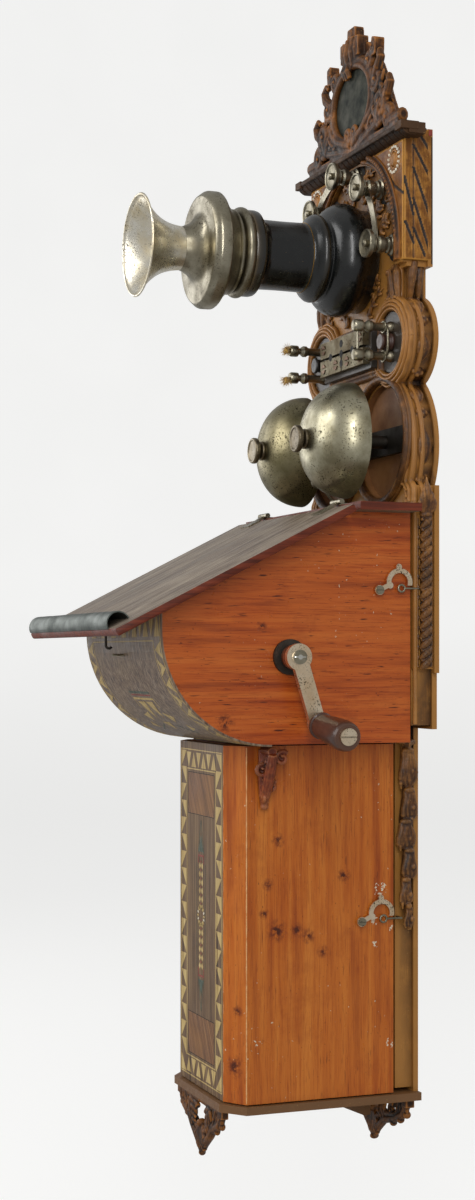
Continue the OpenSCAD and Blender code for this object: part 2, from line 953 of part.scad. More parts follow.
function involute_angle(r, rb) =
    r <= rb ? 0 : let (t = sqrt(pow(r / rb, 2) - 1)) t * 180 / PI - atan(t);

function gear_points(teeth, pitch_r) =
    let (
        rb = pitch_r * cos(25),
        root = pitch_r - 1.3 * tooth_module,
        tip = pitch_r + 0.8 * tooth_module,
        half = 90 / teeth * 0.9,
        base = max(rb, root + 0.1),
        radii = [root, base, (base + pitch_r) / 2, pitch_r, tip]
    )
    [for (i = [0:teeth - 1], side = [-1, 1], k = [0:4])
        let (
            r = radii[side < 0 ? k : 4 - k],
            a = 360 * i / teeth + side * (half + involute_angle(pitch_r, rb) - involute_angle(r, rb))
        )
        [r * cos(a), r * sin(a)]];

module magneto_plate(x, bores) {
    difference() {
        sideways(x, plate_t) polygon([
            [-190, 16], [-190, -26], [-132, -34], [-132, box_bottom + 7.5],
            [-96, box_bottom + 7.5], [-96, 16]
        ]);
        rod_x(x - 1, x + 5, -armature_y, 0, journal_r + running_gap);
        if (bores == 2) rod_x(x - 1, x + 5, -crank_y, 0, shaft_r + running_gap);
    }
}

module magneto_frame() {
    span = plate_x[1] - plate_x[0] - plate_t;
    inner_x = plate_x[0] + plate_t;
    color(brass) {
        magneto_plate(plate_x[0], 1);
        magneto_plate(plate_x[1], 2);
        for (z = [box_bottom + 8, -26]) translate([inner_x, -126, z]) cube([span, 24, 5]);
    }
    color(iron) translate([0, -armature_y, 0]) for (s = [-1, 1]) sideways(inner_x, span) difference() {
        translate([s > 0 ? 3.5 : -16, -14]) square([12.5, 28]);
        circle(r = armature_r + 0.5);
    }
}

module magnets() {
    color("#8e2a20") translate([0, -armature_y, 0]) for (x = [-58, -30, -2, 26]) sideways(x, 22) {
        difference() {
            translate([0, 16]) circle(r = 24);
            translate([0, 16]) circle(r = 16);
            translate([-30, -34]) square([60, 50]);
        }
        for (s = [-1, 1]) translate([s > 0 ? 16 : -24, -16]) square([8, 32]);
    }
}

module armature() {
    color(iron) {
        translate([0, -armature_y, 0]) {
            difference() {
                rod_x(-58, 48, 0, 0, armature_r);
                for (s = [-1, 1]) translate([-50, s * 10 - 5, -9]) cube([90, 10, 18]);
            }
            rod_x(-66, 70, 0, 0, journal_r);
        }
    }
    color("#7c2e1e") translate([-48, -armature_y - 4.4, -8.8]) difference() {
        cube([86, 8.8, 17.6]);
        translate([-1, 0.6, 3.8]) cube([88, 7.6, 10]);
    }
    color(brass) translate([0, -armature_y, 0]) difference() {
        sideways(61, 7) rotate(180 / pinion_teeth) polygon(gear_points(pinion_teeth, pinion_r));
        rod_x(60, 69, 0, 0, journal_r);
    }
}

module main_gear() {
    color(brass) translate([0, -crank_y, 0]) difference() {
        union() {
            sideways(62, 5) polygon(gear_points(gear_teeth, gear_r));
            rod_x(67, 73, 0, 0, 11);
        }
        rod_x(50, 80, 0, 0, shaft_r);
        for (a = [30:60:330]) rod_x(60, 68, 22 * cos(a), 22 * sin(a), 7);
    }
}

module crank_shaft() {
    color(nickel) {
        rod_x(50, arm_x, -crank_y, 0, shaft_r);
        rod_x(101, arm_x, -crank_y, 0, 8.4);
        rod_x(arm_x, arm_x + arm_t + 0.1, -crank_y, 0, 2.5);
        difference() {
            rod_x(arm_x + arm_t, arm_x + arm_t + 2, -crank_y, 0, 5.2);
            translate([arm_x + arm_t + 1.2, -crank_y - 6, -0.5]) cube([2, 12, 1]);
        }
    }
}

module crank_bush() {
    color("#b0683c") difference() {
        union() {
            rod_x(86, 96.5, -crank_y, 0, 9.9);
            rod_x(95.1, 97.5, -crank_y, 0, 13);
        }
        rod_x(80, 100, -crank_y, 0, shaft_r + running_gap);
    }
}

module at_spindle() {
    translate([arm_x + arm_t, -knob_y, knob_z]) rotate([0, knob_droop, 0]) children();
}

module crank_arm() {
    color(nickel) {
        difference() {
            translate([0, -crank_y, 0]) rotate([-90 + arm_lean, 0, 0]) {
                rod_x(arm_x, arm_x + arm_t, 0, 0, 9.7);
                translate([arm_x, 0, -6]) cube([arm_t, throw, 12]);
                rod_x(arm_x, arm_x + arm_t, throw, 0, 7);
            }
            rod_x(arm_x - 1, arm_x + arm_t + 1, -crank_y, 0, 2.5);
        }
        at_spindle() {
            rod_x(-2, knob_len + knob_start + 0.5, 0, 0, spindle_r);
            rod_x(0.6, knob_start - 0.4, 0, 0, 6);
            difference() {
                rod_x(knob_len + knob_start + 0.5, knob_len + knob_start + 2, 0, 0, 6.2);
                translate([knob_len + knob_start + 1.2, -7, -0.6]) cube([2, 14, 1.2]);
            }
        }
    }
}

module crank_knob() {
    color("#3a2418") at_spindle() rotate([0, 90, 0]) rotate_extrude() polygon([
        [spindle_r + running_gap, knob_start], [8.4, knob_start], [9.2, knob_start + 1.5],
        [9.6, knob_start + 14], [10.4, knob_start + 28], [11, knob_start + knob_len - 9],
        [10.8, knob_start + knob_len - 3], [9.6, knob_start + knob_len],
        [spindle_r + running_gap, knob_start + knob_len]
    ]);
}

module induction_coil() {
    y = 42;
    z = box_bottom + 20;
    color("#2e4a34") rod_x(-50, 30, -y, z, 10);
    color(brown) for (x = [-54, 30]) translate([x, -y - 12.4, box_bottom + 7.5]) cube([4, 25, 25]);
}

// ---------------------------------------------------------------- battery box

module lower_case() {
    height = case_top - case_bottom;
    color(pine) {
        both_sides() flat(case_bottom, height) polygon([
            [case_half_w - case_wall, -case_rear], [case_half_w, -case_rear],
            [case_half_w, -case_side_front], [panel_half_w, -case_front],
            [panel_half_w, -case_front + case_wall], [case_half_w - case_wall, -case_side_front + 3]
        ]);
        flat(case_top - 6, 6) polygon([
            [-case_half_w + case_wall + 0.05, -case_rear], [case_half_w - case_wall - 0.05, -case_rear],
            [case_half_w - case_wall - 0.05, -case_side_front + 3.05],
            [panel_half_w, -case_front + case_wall + 0.05],
            [-panel_half_w, -case_front + case_wall + 0.05],
            [-case_half_w + case_wall + 0.05, -case_side_front + 3.05]
        ]);
    }
}

module lower_front() {
    color(walnut) flat(case_bottom, case_top - case_bottom)
        translate([-panel_half_w + 0.05, -case_front]) square([2 * panel_half_w - 0.1, case_wall]);
}

module corbels() {
    color(brown) both_sides() translate([case_half_w, 0, case_top]) {
        facing(124, 132) polygon(concat(
            [[0, 0], [23, 0]],
            arc([19, -7], 6, 60, -60, 6),
            arc([10, -20], 7, 50, -70, 6),
            [[5, -34], [0, -46]]
        ));
    }
}

// ---------------------------------------------------------------- hooks

// A flat C-shaped hook drawn in Y and Z about its pivot
module hook_plate() {
    difference() {
        union() {
            circle(r = 3.6);
            polygon([[0, -1.6], [9, 2.4], [8, 6], [0, 2]]);
            translate([16.2, 6]) difference() {
                circle(r = 10.4);
                circle(r = 6.8);
                translate([-12, -12]) square([24, 9.6]);
            }
            translate([15.8, 17.4]) circle(r = 2.2);
            translate([8.6, 3.6]) circle(r = 2.4);
        }
        circle(r = 1.55);
    }
}

module hook_at(x, y, z) {
    color(nickel) {
        translate([0, -y, z]) sideways(x, 1.6) hook_plate();
    }
}

module hook_upper() {
    hook_at(box_half_w + 2, upper_hook_y, upper_hook_z);
}

module hook_lower() {
    hook_at(case_half_w + 2, lower_hook_y, lower_hook_z);
}

// ---------------------------------------------------------------- switch hook

switch_y = 104;
switch_z = 44;
switch_pivot_x = -78;
fork_x = 118;
fork_angle = 35;
fork_reach = 14.5;

module switch_hook() {
    color(nickel) {
        difference() {
            union() {
                rod_y(switch_pivot_x, switch_z, switch_y - 3, switch_y + 3, 5);
                facing(switch_y - 2.5, switch_y + 2.5) translate([-fork_x, switch_z - 2.5]) square([42, 5]);
            }
            rod_y(switch_pivot_x, switch_z, switch_y - 5, switch_y + 5, 1.5 + running_gap);
        }
        for (s = [-1, 1]) {
            translate([-fork_x, -switch_y, switch_z]) rotate([0, 0, s * fork_angle])
                translate([-16, -1.5, -2]) cube([17, 3, 4]);
            translate([-fork_x, -switch_y, switch_z]) rotate([0, 0, s * fork_angle])
                translate([-fork_reach, 0, 0]) cylinder(h = 6, r = 2);
        }
    }
}

backboard();
gable_cornice();
gable_arch();
crest_carving();
oval_plaque();
ring_inlays();
side_mouldings();
drop_carvings();
gong_rings();
gong_bridges();
gong_left();
gong_right();
gong_nuts();
transmitter_base();
capsule_case();
diaphragm();
mouthpiece();
terminal_posts();
terminal_nuts();
terminal_links();
arrester_base();
arrester_plates();
arrester_screws();
ear_rings();
ear_posts();
line_ends();
ringer_coils();
ringer_frame();
hammer();
base_shelf();
front_apron();
rear_apron();
battery_jars();
battery_plates();
board_hardware();
upper_case();
curved_front();
top_board();
upper_box_hardware();
lid_plates();
magneto_frame();
magnets();
induction_coil();
crank_bush();
crank_shaft();
main_gear();
crank_arm();
crank_knob();
armature();
lid_board();
pen_rail();
lid_hardware();
lower_case();
lower_front();
lower_box_hardware();
corbels();
hook_upper();
hook_lower();
lid_hook();
switch_hook();
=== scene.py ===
import random
from math import copysign, cos, hypot, pi, radians, sin, sqrt, tan

import bmesh
import bpy
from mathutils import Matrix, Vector


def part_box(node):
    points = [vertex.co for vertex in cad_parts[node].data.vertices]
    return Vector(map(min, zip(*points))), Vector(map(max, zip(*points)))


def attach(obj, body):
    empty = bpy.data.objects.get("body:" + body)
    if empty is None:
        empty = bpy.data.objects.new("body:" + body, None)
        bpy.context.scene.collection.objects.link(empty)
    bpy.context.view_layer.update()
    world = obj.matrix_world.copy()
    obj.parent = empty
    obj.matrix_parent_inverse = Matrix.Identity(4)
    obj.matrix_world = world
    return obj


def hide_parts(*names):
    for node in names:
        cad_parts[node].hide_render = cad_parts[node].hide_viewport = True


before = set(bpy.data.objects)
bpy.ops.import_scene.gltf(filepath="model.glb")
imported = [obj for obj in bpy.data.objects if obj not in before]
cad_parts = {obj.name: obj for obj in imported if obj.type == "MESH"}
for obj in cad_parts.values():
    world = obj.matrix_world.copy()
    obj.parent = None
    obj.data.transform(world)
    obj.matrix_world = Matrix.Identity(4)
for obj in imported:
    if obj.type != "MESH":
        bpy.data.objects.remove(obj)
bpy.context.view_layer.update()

random.seed(7)

# Lengths below are in millimetres, in the part's own frame: X to the right seen from the front, the wall at
# Y = 0, the front towards -Y, and Z = 0 at the crank shaft.
MM = 0.001


def node_box(node):
    """The low and high corners of a CAD node's box, in millimetres."""
    low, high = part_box(node)
    return [c / MM for c in low], [c / MM for c in high]


# ------------------------------------------------------------------ driving places
# Read from the frame where the box of a node gives them, and otherwise the same as in the CAD.
GONG_X, GONG_Z = 45, 165
GONG_R = node_box("gong_right")[1][0] - GONG_X
GONG_RIM, GONG_POLE = 50, -node_box("gong_right")[0][1]
HORN_Z = 312
RING_R = 66
EAR_X, EAR_Z, EAR_LOBE = 64, 239, 32
LINE_LOW, LINE_HIGH = EAR_Z - 11, EAR_Z + 11
BOARD_HALF, NECK_HALF, BOARD_SHOULDER = 97.0, 74.0, 128
# Just off the front face of the board.
FACE = 20.1
GONG_LOBE_X, GONG_LOBE_Z, GONG_LOBE = 36, 158, 61
BOX_HALF = node_box("upper_case")[1][0]
BOX_FRONT = -node_box("curved_front")[0][1]
BOX_BOTTOM = node_box("curved_front")[0][2]
CURVE_R, CURVE_Y, CURVE_Z = 85, 132, 20
BREAK_Y, TOP_Z = 72, node_box("top_board")[0][2]
LID_HALF = node_box("lid_board")[1][0]
LID_T = 6
LID_LEN = 205
SLOPE = radians(27)
CASE_HALF = node_box("lower_case")[1][0]
CASE_FRONT = -node_box("lower_front")[0][1]
CASE_BOTTOM, CASE_TOP = node_box("lower_case")[0][2], node_box("lower_case")[1][2]
PANEL_HALF = 49
CASE_SIDE_FRONT = 141
CRANK_Y = 118.5
SHELF_BOTTOM = node_box("base_shelf")[1][2] - 6
GABLE_FRONT = 24
GABLE_HALF, GABLE_FOOT, GABLE_TOP = 88.6, 297, 387.4
ARCH_R = 81
PLAQUE_Z = 437


def under_lid(y):
    """The height of the slope under the lid, y in front of the wall."""
    return TOP_Z - (y - BREAK_Y) * tan(SLOPE)


# ------------------------------------------------------------------ materials
def linear(r, g, b):
    """A colour given as 0 to 255 screen values."""
    def one(c):
        c /= 255
        return c / 12.92 if c <= 0.04045 else ((c + 0.055) / 1.055) ** 2.4
    return (one(r), one(g), one(b), 1.0)


def linears(*colors):
    """Several colours at once."""
    return [linear(*color) for color in colors]


class Shade:
    """A procedural material whose patterns are measured in millimetres."""

    def __init__(self, name, **values):
        self.mat = bpy.data.materials.new(name)
        self.mat.use_nodes = True
        self.tree = self.mat.node_tree
        self.shader = self.tree.nodes["Principled BSDF"]
        for key, value in values.items():
            self.shader.inputs[key.replace("_", " ")].default_value = value

    def node(self, kind, **settings):
        """Adds a shader node and sets its options."""
        made = self.tree.nodes.new("ShaderNode" + kind)
        for key, value in settings.items():
            setattr(made, key, value)
        return made

    def plug(self, socket, value):
        """Links an output to a socket, or sets the value of the socket."""
        if hasattr(value, "is_linked"):
            self.tree.links.new(value, socket)
        else:
            socket.default_value = value

    def place(self, stretch=(1, 1, 1), turn=(0, 0, 0)):
        """Object coordinates in millimetres, turned and then stretched."""
        turned_round, stretched = self.node("Mapping"), self.node("Mapping")
        self.plug(turned_round.inputs["Vector"], self.node("TexCoord").outputs["Object"])
        turned_round.inputs["Rotation"].default_value = turn
        self.plug(stretched.inputs["Vector"], turned_round.outputs["Vector"])
        stretched.inputs["Scale"].default_value = [s / MM for s in stretch]
        return stretched.outputs["Vector"]

    def noise(self, at, scale, detail=4.0, rough=0.55, distort=0.0):
        """A cloudy pattern between 0 and 1."""
        n = self.node("TexNoise")
        for key, value in (("Vector", at), ("Scale", scale), ("Detail", detail), ("Roughness", rough),
                           ("Distortion", distort)):
            self.plug(n.inputs[key], value)
        return n.outputs["Fac"]

    def ramp(self, value, *stops):
        """A value turned into the greys or colours of the stops."""
        n = self.node("ValToRGB")
        while len(n.color_ramp.elements) < len(stops):
            n.color_ramp.elements.new(0.5)
        for element, (at, color) in zip(n.color_ramp.elements, stops):
            element.position = at
            element.color = color if hasattr(color, "__len__") else (color, color, color, 1)
        self.plug(n.inputs["Fac"], value)
        return n.outputs["Color"]

    def mix(self, share, a, b):
        """Colour a where the share is 0, and colour b where it is 1."""
        n = self.node("Mix", data_type="RGBA")
        for index, value in ((0, share), (6, a), (7, b)):
            self.plug(n.inputs[index], value)
        return n.outputs[2]

    def over(self, color, paint, value, *stops):
        """Paint laid over a colour, as strong as the stops say for each value."""
        return self.mix(self.ramp(value, *stops), color, paint)

    def calc(self, operation, a, b):
        n = self.node("Math", operation=operation)
        self.plug(n.inputs[0], a)
        self.plug(n.inputs[1], b)
        return n.outputs[0]

    def crevice(self, reach=4.0):
        """1 in the open, and less in hollows, seen within the reach."""
        n = self.node("AmbientOcclusion", samples=6, only_local=True)
        n.inputs["Distance"].default_value = reach * MM
        return n.outputs["AO"]

    def edge(self):
        """0.5 on flat faces, more along outer edges, and less in hollows."""
        return self.node("NewGeometry").outputs["Pointiness"]

    def near(self, point, r):
        """1 at the point, falling to 0 at r."""
        away = self.node("VectorMath", operation="DISTANCE")
        self.plug(away.inputs[0], self.place())
        away.inputs[1].default_value = point
        return self.ramp(self.calc("DIVIDE", away.outputs["Value"], r), (0.0, 1.0), (1.0, 0.0))

    def finish(self, color, rough, height=None, strength=0.3, depth=0.3):
        """Gives the shader its colour, roughness and bump, and returns the material."""
        self.plug(self.shader.inputs["Base Color"], color)
        self.plug(self.shader.inputs["Roughness"], rough)
        if height is not None:
            bump = self.node("Bump")
            bump.inputs["Strength"].default_value = strength
            bump.inputs["Distance"].default_value = depth * MM
            self.plug(bump.inputs["Height"], height)
            self.plug(self.shader.inputs["Normal"], bump.outputs["Normal"])
        return self.mat


def carved_material(name, dark, base, light, rough=0.42, shine=0.4, rubbing=0.8):
    """Stained carving: painted shade in the hollows, rubbed to gold along the edges."""
    dark, base, light = linears(dark, base, light)
    s = Shade(name, Specular_IOR_Level=shine)
    at = s.place()
    patches = s.ramp(s.noise(at, 0.045, 5), (0.34, dark), (0.52, base), (0.74, light))
    blots = s.ramp(s.noise(at, 0.16, 5, 0.68), (0.40, 0.7), (0.56, 0.0))
    grain = s.noise(s.place((0.9, 0.9, 0.07)), 1.0, 6, 0.6)
    wood = s.mix(s.ramp(grain, (0.38, 0.65), (0.62, 0.0)), s.mix(blots, patches, dark), dark)
    # Painted shade: the colour darkens to black-brown in the hollows, by ambient occlusion.
    hollow = s.over(wood, linear(30, 17, 8), s.crevice(5), (0.25, 1.0), (0.85, 0.0))
    rubbed = s.over(hollow, light, s.edge(), (0.505, 0.0), (0.56, rubbing))
    fleck = s.ramp(s.noise(at, 0.75, 3), (0.68, 0.0), (0.75, 0.6))
    color = s.mix(fleck, rubbed, linear(206, 164, 96))
    roughness = s.ramp(s.noise(at, 0.2, 3), (0.3, rough - 0.1), (0.7, rough + 0.14))
    return s.finish(color, roughness, s.calc("ADD", grain, s.noise(at, 1.3, 5)), 0.5, 0.35)


def pine_material(name, along, pale, base, deep, knots=(), streak=1.0, splashes=()):
    """Shellacked pine whose grain runs along one axis, 1 for Y and 2 for Z."""
    pale, base, deep = linears(pale, base, deep)
    s = Shade(name, Specular_IOR_Level=0.32, Coat_Weight=0.12, Coat_Roughness=0.2)

    def grain(slow, fast):
        return s.place([slow if axis == along else fast for axis in range(3)])
    wander = s.noise(s.place((0.012, 0.012, 0.012)), 1.0, 2)
    bands = s.noise(grain(0.006, 0.13), 1.0, 6, 0.62, 0.25)
    color = s.ramp(bands, (0.30, deep), (0.47, base), (0.70, pale))
    color = s.over(color, pale, wander, (0.35, 0.0), (0.72, 0.5))
    fine = s.noise(grain(0.04, 1.3), 1.0, 4, 0.7)
    color = s.over(color, deep, fine, (0.34, 0.6), (0.5, 0.0))
    dashes = s.ramp(s.noise(grain(0.075, 0.75), 1.0, 2, 0.4), (0.66, 0.0), (0.74, 0.9 * streak))
    color = s.mix(dashes, color, linear(58, 18, 8))
    specks = s.ramp(s.noise(grain(0.35, 0.9), 1.0, 1, 0.4), (0.74, 0.0), (0.79, 0.75))
    color = s.mix(specks, color, linear(66, 24, 10))
    blotch = s.noise(s.place((0.24, 0.24, 0.24)), 1.0, 4, 0.65)
    for point, r in knots:
        halo = s.calc("MULTIPLY", s.near(point, r * 1.9), s.ramp(blotch, (0.36, 0.15), (0.6, 1.0)))
        color = s.over(color, linear(98, 38, 14), halo, (0.12, 0.0), (0.62, 0.85))
        core = s.calc("MULTIPLY", s.near(point, r), s.ramp(blotch, (0.38, 0.2), (0.56, 1.0)))
        color = s.over(color, linear(58, 22, 10), core, (0.34, 0.0), (0.6, 0.75))
    where = s.ramp(s.noise(s.place((0.018, 0.018, 0.018)), 1.0, 2), (0.53, 0.0), (0.62, 1.0))
    chip = s.ramp(s.noise(s.place(), 0.36, 2, 0.4), (0.735, 0.0), (0.745, 0.85))
    color = s.mix(s.calc("MULTIPLY", chip, where), color, linear(206, 190, 160))
    flake = s.ramp(s.noise(s.place(), 0.5, 3, 0.5), (0.56, 0.0), (0.59, 1.0))
    for point, r in splashes:
        spot = s.ramp(s.calc("MULTIPLY", s.near(point, r), flake), (0.10, 0.0), (0.16, 0.9))
        color = s.mix(spot, color, linear(214, 204, 180))
    grime = s.noise(s.place((0.022, 0.022, 0.022)), 1.0, 5, 0.7)
    color = s.over(color, deep, grime, (0.55, 0.0), (0.78, 0.5))
    # Painted shade: darker in corners and where boards meet, by ambient occlusion.
    color = s.over(color, linear(46, 17, 7), s.crevice(9), (0.4, 0.7), (0.9, 0.0))
    rough = s.ramp(s.noise(s.place(), 0.06, 4), (0.3, 0.26), (0.7, 0.44))
    return s.finish(color, rough, s.calc("ADD", fine, dashes), 0.22, 0.2)


def veneer_material(name, along, dark, base, light, rough=0.5, turn=(0, 0, 0)):
    """Dry old veneer: fine streaks along one axis, with pale dust in the pores."""
    dark, base, light = linears(dark, base, light)
    s = Shade(name, Specular_IOR_Level=0.3)
    stretch = [0.011 if axis == along else 0.42 for axis in range(3)]
    bands = s.noise(s.place(stretch, turn), 1.0, 7, 0.68, 0.3)
    color = s.ramp(bands, (0.33, dark), (0.50, base), (0.70, light))
    pores = s.noise(s.place([0.08 if axis == along else 2.4 for axis in range(3)], turn), 1.0, 3, 0.6)
    color = s.over(color, dark, pores, (0.30, 0.7), (0.44, 0.0))
    bloom = s.noise(s.place((0.03, 0.03, 0.03)), 1.0, 4, 0.6)
    color = s.over(color, light, bloom, (0.45, 0.0), (0.78, 0.45))
    roughness = s.ramp(bloom, (0.3, rough - 0.08), (0.7, rough + 0.14))
    return s.finish(color, roughness, pores, 0.35, 0.25)


def metal_material(name, color, tarnish, rough=0.27, pits=0.6, pit_scale=0.9, pitted_from=0.62):
    """Old plating: cloudy tarnish, dark pits that gather in patches, and fine scratches."""
    color, tarnish = linears(color, tarnish)
    s = Shade(name, Metallic=1.0)
    at = s.place()
    cloud = s.noise(at, 0.06, 5, 0.6)
    tint = s.over(color, tarnish, cloud, (0.38, 0.0), (0.68, 0.85))
    where = s.ramp(s.noise(at, 0.05, 3), (0.42, 0.1), (0.62, 1.0))
    pit = s.ramp(s.noise(at, pit_scale, 3, 0.5), (pitted_from, 0.0), (pitted_from + 0.07, 1.0))
    pitted = s.calc("MULTIPLY", s.calc("MULTIPLY", pit, where), pits)
    tint = s.mix(pitted, tint, linear(44, 36, 24))
    tint = s.over(tint, linear(52, 42, 28), s.crevice(3), (0.3, 0.75), (0.8, 0.0))
    spread = s.ramp(cloud, (0.3, rough - 0.06), (0.7, rough + 0.16))
    roughness = s.mix(pitted, spread, (0.8, 0.8, 0.8, 1))
    return s.finish(tint, roughness, s.calc("SUBTRACT", s.noise(at, 0.4, 2), pitted), 0.12, 0.2)


def lacquer_material(name, color, worn, rough=0.24, wear=0.5):
    """Black lacquer or polish, dulled in clouds and chipped to what lies under it."""
    color, worn = linears(color, worn)
    s = Shade(name, Coat_Weight=0.3, Coat_Roughness=0.15)
    at = s.place()
    cloud = s.noise(at, 0.07, 5, 0.65)
    tint = s.over(color, linear(44, 46, 42), cloud, (0.46, 0.0), (0.85, 0.4))
    chips = s.ramp(s.noise(at, 0.5, 4, 0.6), (0.69, 0.0), (0.73, wear))
    tint = s.mix(chips, tint, worn)
    tint = s.over(tint, worn, s.edge(), (0.53, 0.0), (0.60, wear))
    roughness = s.ramp(cloud, (0.3, rough), (0.7, rough + 0.22))
    return s.finish(tint, roughness, s.noise(at, 0.9, 4), 0.08, 0.2)


def plain_material(name, color, other, rough, scale=0.25, bump=0.25, **values):
    """A mottled material for small or hidden pieces."""
    color, other = linears(color, other)
    s = Shade(name, **values)
    at = s.place()
    mottle = s.noise(at, scale, 5, 0.62)
    tint = s.ramp(mottle, (0.32, other), (0.66, color))
    roughness = s.ramp(mottle, (0.3, rough + 0.12), (0.7, max(rough - 0.08, 0.02)))
    return s.finish(tint, roughness, s.noise(at, scale * 5, 4), bump, 0.25)


def winding_material(name, color, dark, along):
    """Thread wound round an axis: fine even ridges."""
    color, dark = linears(color, dark)
    s = Shade(name, Sheen_Weight=0.3)
    wave = s.node("TexWave", bands_direction="XYZ"[along])
    s.plug(wave.inputs["Vector"], s.place())
    wave.inputs["Scale"].default_value = 0.45
    wave.inputs["Distortion"].default_value = 0.4
    tint = s.mix(wave.outputs["Fac"], dark, color)
    return s.finish(tint, s.ramp(s.noise(s.place(), 0.4), (0.3, 0.5), (0.7, 0.7)), wave.outputs["Fac"],
                    0.6, 0.3)


SIDE_KNOTS = [((67, -117, -203), 6), ((67, -116, -136), 4), ((67, -124, -168), 3.5), ((67, -127, -190), 3),
              ((67, -101, -203), 4), ((67, -92, -208), 4), ((67, -80, -220), 3.5), ((67, -63, -164), 4),
              ((58, -147, -303), 6), ((60, -146, -262), 3.5), ((-67, -90, -240), 6), ((-67, -60, -120), 5)]
SIDE_CHIPS = [((67, -33, -176), 7), ((67, -37, -199), 4), ((67, -38, -217), 3.5), ((67, -24, -292), 5),
              ((67, -133, -284), 4), ((67, -24, -205), 3), ((67, -100, -56), 5), ((67, -84, -58), 6)]
UPPER_KNOTS = [((95, -168, -47), 5.5), ((95, -140, 22), 3), ((-95, -90, 10), 6), ((-95, -150, -30), 4)]

